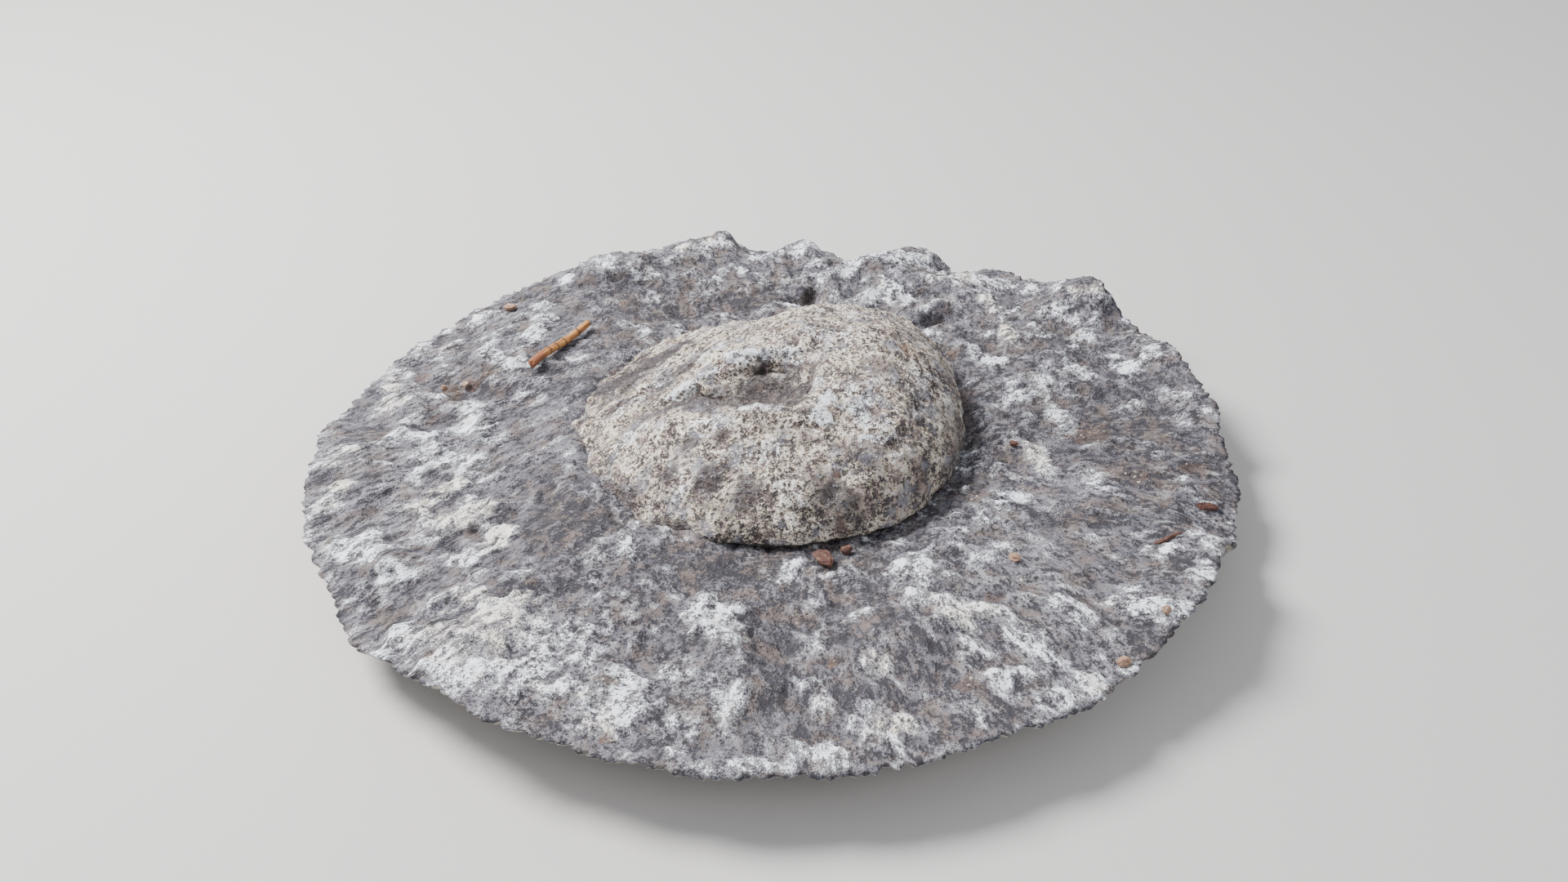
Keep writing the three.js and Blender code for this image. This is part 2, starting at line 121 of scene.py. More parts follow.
class Noise:
    """Seeded noise in three dimensions: gradient noise and scattered cells.

    Two readings of one noise are kept apart by adding a shift to the points of one of them.
    """

    CORNERS = tuple(np.array(corner) for corner in product((0, 1), repeat=3))
    NEIGHBOURS = tuple(np.array(step) for step in product((-1, 0, 1), repeat=3))
    TABLE = 256  # how many slopes and dots there are to pick from
    EVENING = 1.6  # brings gradient noise to about -1 to 1
    GAIN = 0.5  # each finer layer's share of the one before
    LAYER_SHIFT = 17.3  # between two layers
    RIDGE_SHIFT = 9.1  # between two layers of crests
    RIDGE_FALL = 1.4  # how steeply a crest falls away

    def __init__(self, seed: int) -> None:
        """Draw the noise's tables; the seed fixes every draw."""
        draw = np.random.default_rng(seed)
        self.order = np.tile(draw.permutation(self.TABLE), 3)
        slopes = draw.normal(size=(self.TABLE, 3))
        self.slopes = slopes / np.linalg.norm(slopes, axis=1, keepdims=True)
        self.scatter = draw.random((self.TABLE, 4))

    def _key(self, cell: Points) -> Values:
        """Return each cell's row in the tables."""
        x, y, z = (cell[:, axis] % self.TABLE for axis in range(3))
        return self.order[self.order[self.order[x] + y] + z]

    def plain(self, points: Points, length: float) -> Values:
        """Return gradient noise, about -1 to 1, whose lumps are about a length across."""
        at = points / length
        cell = np.floor(at).astype(np.int64)
        part = at - cell
        ease = part**3 * (part * (part * 6 - 15) + 10)
        total = np.zeros(len(at))
        for corner in self.CORNERS:
            weight = np.prod(np.where(corner, ease, 1 - ease), axis=1)
            slope = self.slopes[self._key(cell + corner)]
            total += weight * np.einsum("ij,ij->i", slope, part - corner)
        return self.EVENING * total

    def layered(self, points: Points, length: float, layers: int = 4) -> Values:
        """Sum gradient noise over ever finer layers.

        Args:
            points: Where to read it.
            length: The coarsest layer's lumps.
            layers: How many layers; each halves the length.

        Returns:
            The sum, about -1 to 1.
        """
        total = np.zeros(len(points))
        for layer in range(layers):
            shifted = points + self.LAYER_SHIFT * layer
            total += self.GAIN**layer * self.plain(shifted, length / 2**layer)
        return total

    def ridged(self, points: Points, length: float, layers: int = 3) -> Values:
        """Return sharp crests, 0 to 1, that wander through the points about a length apart."""
        total = np.zeros(len(points))
        weight = 0.0
        for layer in range(layers):
            plain = self.plain(points + self.RIDGE_SHIFT * layer, length / 2**layer)
            total += self.GAIN**layer * (1 - np.abs(plain) * self.RIDGE_FALL)
            weight += self.GAIN**layer
        return np.clip(total / weight, 0, 1)

    def cells(self, points: Points, length: float) -> tuple[Values, Values]:
        """Measure how far each point is from the nearest of one scattered dot per cell.

        Args:
            points: Where to measure.
            length: The cells' size.

        Returns:
            The distance in cells, and the nearest dot's own number from 0 to 1.
        """
        at = points / length
        cell = np.floor(at).astype(np.int64)
        nearest = np.full(len(at), np.inf)
        number = np.zeros(len(at))
        for step in self.NEIGHBOURS:
            dots = self.scatter[self._key(cell + step)]
            apart = np.linalg.norm(cell + step + dots[:, :3] - at, axis=1)
            closer = apart < nearest
            nearest = np.where(closer, apart, nearest)
            number = np.where(closer, dots[:, 3], number)
        return nearest, number


# -----------------------------------------------------------------------------
# Rings and skins
# -----------------------------------------------------------------------------


def mesh_points(mesh: Mesh) -> Points:
    """Return a mesh's points, in millimetres."""
    flat = np.empty(3 * len(mesh.vertices))
    mesh.vertices.foreach_get("co", flat)
    return flat.reshape(-1, 3) / MM


def node_points(node: str) -> Points:
    """Return a model node's separate points, in millimetres."""
    return np.unique(np.round(mesh_points(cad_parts[node].data), 4), axis=0)


def shift_to(middle: Points) -> Points:
    """Return the shift from the rock's centre to the model's frame."""
    return np.array([*(middle - SHELL_MIDDLE), 0.0])


class Valve(Enum):
    """One of the shell's valves; its value is the sign that sorts the valve's points first."""

    UPPER = -1
    LOWER = 1


@dataclass
class RingNet:
    """Rings of a solid's points on the spokes round the shell's middle.

    Attributes:
        middle: The shell's middle, in the model's frame.
        radius: Each point's distance from it: a row for each ring and a column for each spoke.
        height: Each point's height.
    """

    middle: Points
    radius: Values
    height: Values

    SPOKES = 100
    ON_SPOKE = 0.02  # a point nearer than this to a spoke is on it

    @classmethod
    def read(cls, node: str, middle: Points) -> "RingNet":
        """Read a node's points back as rings, from the middle outwards.

        Args:
            node: The node's name.
            middle: The shell's middle.

        Returns:
            The net, with every point that lies on a spoke.
        """
        points = node_points(node)
        away = points[:, :2] - middle
        distance = np.hypot(*away.T)
        place = np.arctan2(away[:, 1], away[:, 0]) * cls.SPOKES / (2 * np.pi)
        spoke = np.rint(place).astype(int)
        miss = np.abs(place - spoke) * distance * 2 * np.pi / cls.SPOKES
        kept = (miss < cls.ON_SPOKE) & (distance > ON_AXIS)
        rings = np.bincount(spoke[kept] % cls.SPOKES, minlength=cls.SPOKES).min()
        radius = np.empty((rings, cls.SPOKES))
        height = np.empty((rings, cls.SPOKES))
        for index in range(cls.SPOKES):
            on_it = np.flatnonzero(kept & (spoke % cls.SPOKES == index))
            on_it = on_it[np.argsort(miss[on_it])][:rings]
            on_it = on_it[np.argsort(distance[on_it])]
            radius[:, index] = distance[on_it]
            height[:, index] = points[on_it, 2]
        return cls(middle, radius, height)

    def valve(self, valve: Valve, count: int) -> "RingNet":
        """Return one valve's net: each spoke's highest points, or its lowest ones.

        Args:
            valve: The valve. The upper one's rings go outwards, and the lower one's inwards.
            count: How many of each spoke's points it has.

        Returns:
            The valve's net.
        """
        picked = np.argsort(valve.value * self.height, axis=0)[:count]
        radius = np.take_along_axis(self.radius, picked, 0)
        height = np.take_along_axis(self.height, picked, 0)
        order = np.argsort(-valve.value * radius, axis=0)
        return RingNet(
            self.middle,
            np.take_along_axis(radius, order, 0),
            np.take_along_axis(height, order, 0),
        )

    def ring(self, place: float, spokes: int) -> Points:
        """Return the points of one smooth ring.

        Args:
            place: Which ring, counted from 0; a fraction lies between two rings.
            spokes: How many points the ring has.

        Returns:
            The ring's points.
        """
        around = np.arange(spokes) * self.SPOKES / spokes
        rows = np.stack([self.radius, self.height], axis=-1)
        across = catmull(rows, np.array([place]), closed=False)[0]
        radius, height = catmull(across, around, closed=True).T
        angle = 2 * np.pi * np.arange(spokes) / spokes
        return np.column_stack([
            self.middle[0] + radius * np.cos(angle),
            self.middle[1] + radius * np.sin(angle),
            height,
        ])

    def place_at(self, radius: Values) -> Values:
        """Return which ring has each mean radius."""
        means = self.radius.mean(axis=1)
        return np.interp(radius, means, np.arange(len(means)))


@dataclass
class Skin:
    """A closed surface woven through rings of points, from one pole to the other.

    A ring has as many points as the next one, half as many or twice as many, all from the same
    first spoke. Rings run counterclockwise, and outwards on the top side.
    """

    rings: list[Points]

    def points(self) -> Points:
        """Return every point, with a pole before the first ring and one after the last."""
        first, last = self.rings[0].mean(axis=0), self.rings[-1].mean(axis=0)
        return np.concatenate([first[None], *self.rings, last[None]])

    def starts(self) -> list[int]:
        """Return the index of each ring's first point."""
        counts = [len(ring) for ring in self.rings]
        return [1 + sum(counts[:index]) for index in range(len(counts))]

    def faces(self) -> Values:
        """Return the triangles, turned outwards."""
        starts = self.starts()
        parts = [self._fan(0, starts[0], len(self.rings[0]), outwards=True)]
        counts = [len(ring) for ring in self.rings]
        for band in zip(starts, counts, starts[1:], counts[1:]):
            parts.append(self._band(*band))
        last = starts[-1] + counts[-1]
        parts.append(self._fan(last, starts[-1], counts[-1], outwards=False))
        return np.concatenate(parts)

    @staticmethod
    def _fan(pole: int, start: int, count: int, outwards: bool) -> Values:
        """Return the triangles between a pole and the ring beside it."""
        here = np.arange(count)
        after = (here + 1) % count
        pair = (start + here, start + after) if outwards else (start + after, start + here)
        return np.column_stack([np.full(count, pole), *pair])

    @staticmethod
    def _band(a: int, a_count: int, b: int, b_count: int) -> Values:
        """Return the triangles between two rings, each given by its first point and its count."""
        few = min(a_count, b_count)
        here = np.arange(few)
        after = (here + 1) % few
        middle, end = 2 * here + 1, (2 * here + 2) % (2 * few)
        if a_count == b_count:
            triangles = [(a + here, b + here, b + after), (a + here, b + after, a + after)]
        elif a_count < b_count:
            triangles = [
                (a + here, b + 2 * here, b + middle),
                (a + here, b + middle, a + after),
                (a + after, b + middle, b + end),
            ]
        else:
            triangles = [
                (a + 2 * here, b + here, a + middle),
                (a + middle, b + here, b + after),
                (a + middle, b + after, a + end),
            ]
        return np.concatenate([np.column_stack(corners) for corners in triangles])


def normals_of(points: Points, faces: Values) -> Points:
    """Return the unit normal at each point of a triangle mesh."""
    a, b, c = (points[faces[:, corner]] for corner in range(3))
    across = np.cross(b - a, c - a)
    total = np.zeros_like(points)
    for corner in range(3):
        np.add.at(total, faces[:, corner], across)
    tiny = 1e-12
    return total / np.maximum(np.linalg.norm(total, axis=1, keepdims=True), tiny)


def add_object(name: str, data: ID) -> Object:
    """Add an object to the scene, at the origin."""
    made = bpy.data.objects.new(name, data)
    bpy.context.collection.objects.link(made)
    return made


def plain_mesh(holder: Object) -> Mesh:
    """Return an object's mesh with its modifiers applied, and remove the object."""
    graph = bpy.context.evaluated_depsgraph_get()
    mesh = bpy.data.meshes.new_from_object(holder.evaluated_get(graph))
    bpy.data.objects.remove(holder)
    return mesh


def make_piece(
    name: str, points: Points, faces: Values, material: Material, **marks: Values
) -> Object:
    """Make a smooth-shaded mesh object.

    Args:
        name: The piece's name.
        points: Its points, in millimetres.
        faces: Its triangles.
        material: Its finish.
        **marks: Values kept on the points, one number or three for each, for the finish to read.

    Returns:
        The new object, at the origin.
    """
    mesh = bpy.data.meshes.new(name)
    mesh.from_pydata((points * MM).tolist(), [], faces.tolist())
    mesh.polygons.foreach_set("use_smooth", np.ones(len(faces), dtype=bool))
    for mark, values in marks.items():
        kind, key = ("FLOAT", "value") if values.ndim == 1 else ("FLOAT_VECTOR", "vector")
        layer = mesh.attributes.new(mark, kind, "POINT")
        layer.data.foreach_set(key, values.astype(np.float32).ravel())
    mesh.materials.append(material)
    mesh.update()
    return add_object(name, mesh)


# -----------------------------------------------------------------------------
# Where the crusts, soil, ledges and gashes lie
# -----------------------------------------------------------------------------


@dataclass(frozen=True)
class Patch:
    """An oval place on the rock or the shell.

    Attributes:
        x: Its middle, to the right of the rock's centre.
        y: Its middle, behind the rock's centre.
        along: Half its length.
        across: Half its width.
        turn: How far its length is turned, in degrees.
        strength: How much of it there is, from 0 to 1.
    """

    x: float
    y: float
    along: float
    across: float
    turn: float = 0.0
    strength: float = 0.8

    def reach(self, x: Values, y: Values) -> Values:
        """Return each point's distance from the middle, as a share of the way to the edge."""
        along, across = turned(x - self.x, y - self.y, self.turn)
        return np.hypot(along / self.along, across / self.across)


def patches(*rows: tuple[float, ...]) -> tuple[Patch, ...]:
    """Return a patch for each row of x, y, along, across, turn and strength."""
    return tuple(Patch(*row) for row in rows)


PATCH_EDGE = 1.35  # the reach at which a patch starts
PATCH_FULL = 0.35  # the reach within which it is whole


def cover(places: tuple[Patch, ...], x: Values, y: Values, fray: Values) -> Values:
    """Add patches up.

    Args:
        places: The patches.
        x: The points, to the right of the rock's centre.
        y: The points, behind the rock's centre.
        fray: What is added to each point's reach, so that the edges wander.

    Returns:
        How covered each point is, from 0 to 1.
    """
    bare = np.ones(len(x))
    for patch in places:
        bare *= 1 - patch.strength * smooth(PATCH_EDGE, PATCH_FULL, patch.reach(x, y) + fray)
    return 1 - bare


WHITE_CRUSTS = patches(
    # front left
    (-127, -53, 12, 7, 0, 1), (-112, -46, 8, 5), (-96, -55, 6, 5), (-104, -5, 8, 7),
    (-118, -14, 3, 6), (-111, -64, 4, 3), (-106, -92, 12, 6, -25), (-96, -106, 5, 7, 0, 1),
    (-68, -92, 9, 6, 0, 0.9), (-70, -107, 14, 4, 0, 1), (-88, -115, 10, 5), (-63, -115, 12, 6),
    (-47, -125, 10, 7, 0, 0.9), (-45, -112, 8, 6), (-55, -100, 6, 8, 0, 0.4),
    (-22, -88, 8, 10, 0, 1), (-17, -98, 6, 10), (-30, -113, 10, 10, 0, 0.55),
    (-15, -120, 6, 12, 0, 0.55), (-12, -146, 10, 4), (-47, -52, 2, 9, 15), (-77, -63, 8, 2, 30),
    (-80, -100, 26, 14, -10, 0.5), (-25, -133, 12, 8, 0, 0.4),
    # front right
    (10, -143, 10, 5), (22, -128, 6, 6), (12, -122, 3, 5), (22, -86, 6, 5), (42, -84, 9, 6),
    (39, -68, 11, 6, -50, 1), (42, -60, 4, 4), (54, -55, 5, 3, -40), (66, -58, 6, 3, 0, 0.6),
    (60, -68, 4, 10, 0, 0.4), (60, -115, 7, 5), (52, -105, 8, 6, 0, 0.4),
    (72, -112, 7, 6, 0, 0.4), (80, -121, 8, 5, 35, 1), (103, -91, 13, 5, -35, 1),
    (90, -92, 6, 4, 0, 0.7), (66, -102, 10, 6, 0, 0.5), (86, -22, 10, 5, 0, 0.5),
    (78, -32, 12, 6, 0, 0.5), (98, -25, 12, 7, 0, 0.5), (130, -52, 4, 9, -10, 1),
    (143, -42, 8, 3, 20, 0.6), (124, -75, 5, 5), (4, -65, 5, 8), (13, -68, 4, 3, 0, 0.6),
    (10, -95, 5, 10, 0, 0.4), (5, -108, 4, 8, 0, 0.4), (118, -62, 8, 4, 0, 0.4),
    # back left
    (-128, 66, 8, 6), (-137, 52, 7, 5, 0, 1), (-105, 30, 3, 8, 0, 1), (-107, 20, 3, 6),
    (40, 118, 24, 8, 32, 1), (30, 108, 10, 5, 20, 0.8), (56, 122, 12, 8, 30, 0.8),
    (-98, 15, 10, 10, 0, 0.65), (-118, 8, 10, 6, 0, 0.55), (-84, 18, 5, 5, 0, 0.6),
    (-85, 33, 5, 4, 0, 0.6), (-83, 42, 4, 3, 0, 0.6), (-104, 95, 8, 5), (-112, 92, 5, 4),
    (-85, 88, 10, 6), (-88, 97, 4, 4), (-103, 68, 3, 10), (-98, 55, 10, 3, -25),
    (-91, 52, 6, 3), (-88, 75, 4, 7), (-90, 65, 8, 4, 40), (-72, 57, 6, 4), (-65, 125, 7, 8, 0, 1),
    (-80, 118, 4, 4), (-45, 108, 6, 4), (-62, 105, 6, 3, 0, 0.6), (-24, 138, 6, 4),
    (-22, 114, 9, 3, 20, 0.6), (-20, 106, 10, 3, 0, 0.6), (-12, 121, 3, 3),
    (-47, 80, 5, 4, -45, 0.6), (-48, 118, 6, 3, 0, 0.6), (-5, 128, 8, 5, 0, 0.6),
    # back right
    (8, 135, 10, 8, 0, 1), (45, 125, 8, 14, 0, 1), (25, 104, 8, 4, 0, 1), (35, 110, 10, 4, 25),
    (52, 130, 8, 8), (82, 108, 8, 8), (97, 105, 6, 8), (56, 88, 7, 8, 0, 0.7),
    (45, 95, 14, 5, 0, 0.7), (95, 72, 3, 1.5, 0, 1), (110, 76, 12, 3, -35), (115, 64, 8, 4),
    (98, 65, 6, 3, 0, 0.6), (77, 50, 10, 3, -50), (122, 48, 8, 6, -50), (128, 42, 8, 5, 0, 0.7),
    (103, 40, 8, 6), (95, 32, 18, 8, 0, 0.5), (85, 25, 12, 6, 0, 0.5), (98, 14, 6, 6, 50),
    (143, 25, 8, 4), (146, 14, 3, 1.5, 0, 0.9), (125, 24, 3, 2, 0, 0.9), (108, 55, 5, 3),
)

CREAM_CRUSTS = patches(
    (-97, -33, 18, 6, 35), (-87, -45, 5, 9), (-110, -25, 4, 12, -40), (-140, -8, 6, 8),
    (-139, -24, 7, 4), (-143, -33, 6, 4), (-85, -88, 18, 14), (-50, -133, 5, 6),
    (-90, -76, 5, 4), (-76, -77, 6, 4), (32, -132, 8, 7, 0, 1), (26, -107, 7, 8),
    (50, -90, 16, 7), (71, -73, 6, 4), (86, -10, 4, 11, 10), (-136, 40, 6, 4),
    (-133, 30, 8, 8), (-34, 138, 5, 5), (-56, 86, 3, 3), (75, 115, 5, 12, -15, 1),
    (82, 90, 4, 8, 30), (86, 68, 4, 11, 0, 1), (118, 84, 8, 4), (62, 105, 4, 4),
)

BARE_PLACES = patches(
    (-66, -42, 18, 26, -15, 1), (-105, -18, 5, 9, 0, 0.8), (-103, 40, 14, 5, -10, 0.8),
    (-30, 96, 34, 9, -6, 0.9), (70, 40, 9, 24, 0, 0.4), (125, 10, 24, 9, 0, 0.6),
    (92, -45, 18, 6, -10, 0.7), (115, -70, 14, 8, -30, 0.7), (0, -60, 48, 9, 0, 0.9),
    (25, -75, 8, 5, 0, 0.6), (-6, -112, 6, 26, 8, 0.6), (55, -132, 20, 7, 15, 0.7),
    (102, -103, 7, 6, 30, 0.8), (-70, -125, 12, 5, -30, 0.7), (-40, -76, 6, 5, 0, 0.6),
    (-122, -75, 12, 6, -30, 0.8), (72, -2, 6, 16, 0, 0.3), (-62, 70, 10, 12, 50, 0.5),
    (-6, 100, 18, 11, 0, 0.9), (-32, -68, 32, 11, 8, 0.5),
    # broad parts that are duller all over
    (112, 0, 44, 60, 10, 0.5), (10, -100, 60, 44, 0, 0.55), (-46, 104, 44, 20, -6, 0.6),
    (104, 60, 40, 30, 0, 0.2), (-84, 48, 30, 22, 0, 0.4),
)

SOIL_POCKETS = patches(
    (-115, 43, 14, 3, 20), (-125, 48, 5, 4), (-120, 25, 5, 4, 0, 0.6), (105, 5, 10, 8, 0, 0.7),
    (66, 20, 3.5, 34, 3, 0.6), (62, -30, 7, 9, -30, 0.6), (14, -105, 6, 4, 0, 0.9),
    (27, -97, 8, 7, 0, 0.6), (8, -85, 5, 4, 0, 0.6), (50, -118, 6, 6, 0, 0.7),
    (62, -82, 5, 4, 0, 0.7), (118, -25, 8, 4, 0, 0.6), (-50, -114, 4, 3, 0, 1),
    (-48, -136, 3, 2.4, 0, 1), (-57, -84, 3, 5, 0, 0.7), (108, 65, 4, 3, 0, 0.9),
    (-58, 103, 3, 2, 0, 0.9), (134, -18, 8, 3, 10, 0.8), (-42, -74, 6, 4, 0, 0.5),
    (-30, 90, 26, 6, -6, 0.4), (-15, -106, 3, 4, 0, 0.6), (40, -45, 16, 5, 20, 0.4),
)

# Deep places, sunk into the bed and darkened with painted shade: the hole under the mound's nose,
# the crack off the shell's back corner and the hole below the back left ledge.
CAVITIES = patches(
    (12.5, 99.5, 6.5, 3, 10, 1), (59.5, 77, 5.5, 1.6, 24, 0.8), (-60, 117, 6, 2.2, 14, 0.8),
)
CAVITY_DEPTH = 3.4


@dataclass(frozen=True)
class Ledge:
    """A step in the rock's surface, with one side raised.

    Attributes:
        x: The middle of its edge.
        y: The middle of its edge.
        length: Its edge's length.
        turn: The edge's direction in degrees; the raised side is to the left of it.
        rise: The step's height.
        reach: How far the raised side takes to fall back to the bed.
    """

    x: float
    y: float
    length: float
    turn: float
    rise: float
    reach: float

    FOOT = -0.9  # where the step starts, in front of its edge
    BROW = 0.7  # where it is whole, behind its edge
    TIP = 0.75  # how far along, from its middle, it has died out, as a share of its length
    SHOULDER = 0.35  # how far along it starts to

    def raised(self, x: Values, y: Values, jitter: Values) -> Values:
        """Return how much the ledge adds to the height at each point."""
        along, across = turned(x - self.x, y - self.y, self.turn)
        across = across + jitter
        ends = smooth(self.TIP, self.SHOULDER, np.abs(along) / self.length)
        back = smooth(self.reach, 0.0, across)
        return self.rise * ends * smooth(self.FOOT, self.BROW, across) * back


LEDGES = (
    Ledge(-126, -63, 26, 3, 2.2, 16),  # at the rim, front left
    Ledge(106, -88, 22, 153, 2.0, 10),  # at the rim, front right
    Ledge(60, 80, 18, 24, 2.6, 9),  # off the shell's back corner
    Ledge(-62, 116, 24, 15, 2.6, 13),  # back left
    Ledge(-42, 126, 26, 5, 2.0, 12),  # behind it
    Ledge(-20, 102, 22, 8, 1.2, 7),  # between it and the mound
    Ledge(-84, 52, 20, -25, 1.3, 9),  # left, behind the groove
    Ledge(112, 28, 26, -5, 1.6, 12),  # right
    Ledge(-58, -122, 20, -10, 1.6, 9),  # at the rim, in front of the twig
    Ledge(100, 60, 18, 150, 1.3, 8),  # back right
    Ledge(84, -8, 22, 100, 1.2, 9),  # along the right groove
    Ledge(-104, 6, 24, 38, 1.1, 9),  # across the left side
    Ledge(-96, -40, 26, 36, 1.2, 8),  # in front of that
    Ledge(-20, -84, 16, 75, 1.3, 8),  # front
    Ledge(44, -70, 18, 140, 1.2, 7),  # front right
    Ledge(17.5, 103, 15, 14, 3.0, 9),  # the mound's nose
    Ledge(123.5, 84, 12, 80, 2.4, 10),  # the spur at the rim, back right
)


@dataclass(frozen=True)
class Gash:
    """A cut in the shell, between two points, with a crest along its back side.

    Attributes:
        start: One end.
        end: The other end.
        depth: How deep it is.
        width: Half its width.
        crest: How high the crest behind it stands.
    """

    start: tuple[float, float]
    end: tuple[float, float]
    depth: float
    width: float
    crest: float = 0.0

    BEHIND = 1.7  # how far behind the cut its crest stands, in half widths of the cut
    CREST_WIDTH = 1.1  # half the crest's width, in the same measure
    END_SHARE = 0.12  # keeps the ends of a cut about half as deep as its middle

    def sunk(self, x: Values, y: Values, jitter: Values) -> Values:
        """Return how deep the cut is at each point; a crest counts below zero."""
        start, end = np.array(self.start), np.array(self.end)
        run = end - start
        length = float(np.hypot(*run))
        u, v = x - start[0], y - start[1]
        along = np.clip((u * run[0] + v * run[1]) / length**2, 0, 1)
        across = (v * run[0] - u * run[1]) / length + jitter
        beyond = np.hypot(u - along * run[0], v - along * run[1]) - np.abs(across - jitter)
        ends = smooth(0, 0.25, self.END_SHARE + along * (1 - along))
        fade = np.exp(-np.square(beyond / self.width)) * ends
        cut = self.depth * np.exp(-np.square(across / self.width))
        from_crest = across - self.BEHIND * self.width
        crest = self.crest * np.exp(-np.square(from_crest / (self.CREST_WIDTH * self.width)))
        return fade * (cut - crest)


DEEP_GASHES = (
    Gash((-28.5, 2), (-16.8, -3), 2.1, 0.9, 0.7),
    Gash((-8.2, 2.6), (-2.6, 4.2), 1.7, 0.7, 0.7),
    Gash((-2.6, 4.2), (4.4, 2.6), 1.7, 0.7, 0.7),
)
SHALLOW_GASHES = (
    Gash((36, 8), (52, 2), 0.7, 1.2, 0.2),
    Gash((-8, -30), (4, -46), 0.7, 1.2, 0.2),
)

SHELL_LEDGES = (
    Ledge(-22, 3.4, 34, 4, 1.3, 12),
    Ledge(-4, -20.5, 34, 172, 1.9, 10),
    Ledge(-42, 26, 44, 48, 0.9, 12),
    Ledge(-26, 36, 46, 46, 0.8, 11),
    Ledge(10.5, -12, 26, 258, 1.4, 10),
    Ledge(-3, 7.5, 26, 4, 1.6, 12),
    Ledge(36, -30, 26, 60, 0.8, 10),
    Ledge(30, 30, 34, 20, 0.7, 14),
    Ledge(24, -4, 24, 110, 0.8, 9),
    Ledge(-14, -32, 26, 190, 0.9, 9),
    Ledge(30, -38, 22, 215, 0.9, 8),
)

# Swells and hollows of the shell's back; the last number of each is its rise.
SHELL_SWELLS = patches(
    (-3, -6, 13, 7, -10, -2.9), (-22, 7, 15, 3.5, 4, 0.8), (-4, -25, 14, 4, -8, 0.6),
    (-32, -20, 16, 7, -20, 0.8), (18, -8, 6, 10, 0, 0.8), (40, 20, 10, 24, 0, 0.6),
    (6, 26, 16, 6, 20, 0.7), (-20, -46, 8, 5, 0, 1.0), (8, -44, 9, 5, 0, 0.8),
    (34, -36, 8, 6, 0, 0.9), (14, -13, 4, 3.5, 0, 0.8), (17, -22, 4, 3.5, 0, 0.9),
    (15, -28, 3, 2.6, 0, 0.7), (25, -12, 5, 4, 0, 0.6), (-17, -28, 2.6, 2, 0, -0.5),
)

SHELL_WHITES = patches(
    (-11.5, 7, 5, 2.4, 0, 1), (-20, 4.6, 10, 2.2, 6, 0.9), (-31, 4.6, 7, 2.2, 0, 0.8),
    (14.5, -9, 3.5, 5, 0, 0.9), (15.5, -18, 4, 4.5, 0, 1), (15, -26, 4.5, 4, 0, 1),
    (27, -16, 9, 12, 0, 0.5), (-8.6, -19, 4, 2.6, 0, 1), (0, -21.5, 7, 2.4, -8, 0.8),
    (28, -26, 8, 8, 0, 0.5), (-40, 20, 5, 3, 0, 0.7), (20, 16, 16, 10, 20, 0.5),
    (-20, 26, 12, 3, 42, 0.7), (30, 40, 18, 10, 10, 0.5), (46, 0, 8, 16, 0, 0.3),
    (0, 56, 20, 6, 0, 0.4), (2, 9, 9, 3, 6, 0.7), (-52, 10, 10, 4, 30, 0.6),
    (-30, -36, 5, 4, 0, 0.6), (-4, -36, 7, 5, 0, 0.6), (-24, -18, 10, 5, -20, 0.6),
    (-46, -8, 8, 6, 0, 0.6), (4, -46, 7, 4, 0, 0.5), (-9, 14, 12, 3, 24, 0.5),
)

SHELL_GREYS = patches(
    (-22, -38, 6, 5, 10, 0.75), (-11.5, -43.5, 8, 5, 14, 0.75), (-27, -24, 5, 4, 0, 0.7),
    (-6, -7, 23, 13, -8, 1), (-27, -2.4, 13, 4, -12, 1), (-17, -26.5, 3, 2.8, 0, 0.6),
    (-38, -2, 12, 4, -10, 0.5), (30, -34, 7, 5, 0, 0.6), (-50, -4, 6, 5, 0, 0.5),
    (-34, -31, 5, 4, 0, 0.8), (6, -33, 6, 4, 20, 0.35), (-3, -28, 5, 3, 0, 0.3),
    (56, -14, 6, 18, -12, 0.4), (59, 20, 4, 30, 4, 0.3), (40, -38, 14, 5, 35, 0.25),
    (-50, -28, 10, 4, -40, 0.6), (34, 0, 8, 6, 0, 0.5), (-36, -44, 10, 3, -20, 0.7),
    (20, -47, 8, 5, 0, 0.5), (-44, 42, 18, 7, 42, 1), (-33, 22, 18, 4.5, 42, 0.8),
    (-50, 26, 12, 5, 42, 0.9), (-58, 34, 10, 6, 50, 0.9), (14, -44, 8, 4, 10, 0.6),
    (44, 22, 8, 6, 30, 0.4), (14, 24, 8, 3, 10, 0.4),
)

SHELL_SOILS = patches(
    (18.5, -41.5, 2, 1.6, 0, 0.8), (20, -50, 2.4, 2, 0, 0.7), (43, 13, 4, 3, 0, 0.9),
    (-42, -16, 4, 3, 0, 0.5), (-23, -0.6, 8, 2.4, -22, 0.4), (-2, 2, 8, 2.4, 0, 0.3),
    (30, 60, 6, 3, 0, 0.5), (44, -34, 4, 3, 0, 0.5), (26, 26, 6, 3, 0, 0.5),
    (-4, -4, 10, 4, -10, 0.4),
)


# -----------------------------------------------------------------------------
# The rock
# -----------------------------------------------------------------------------


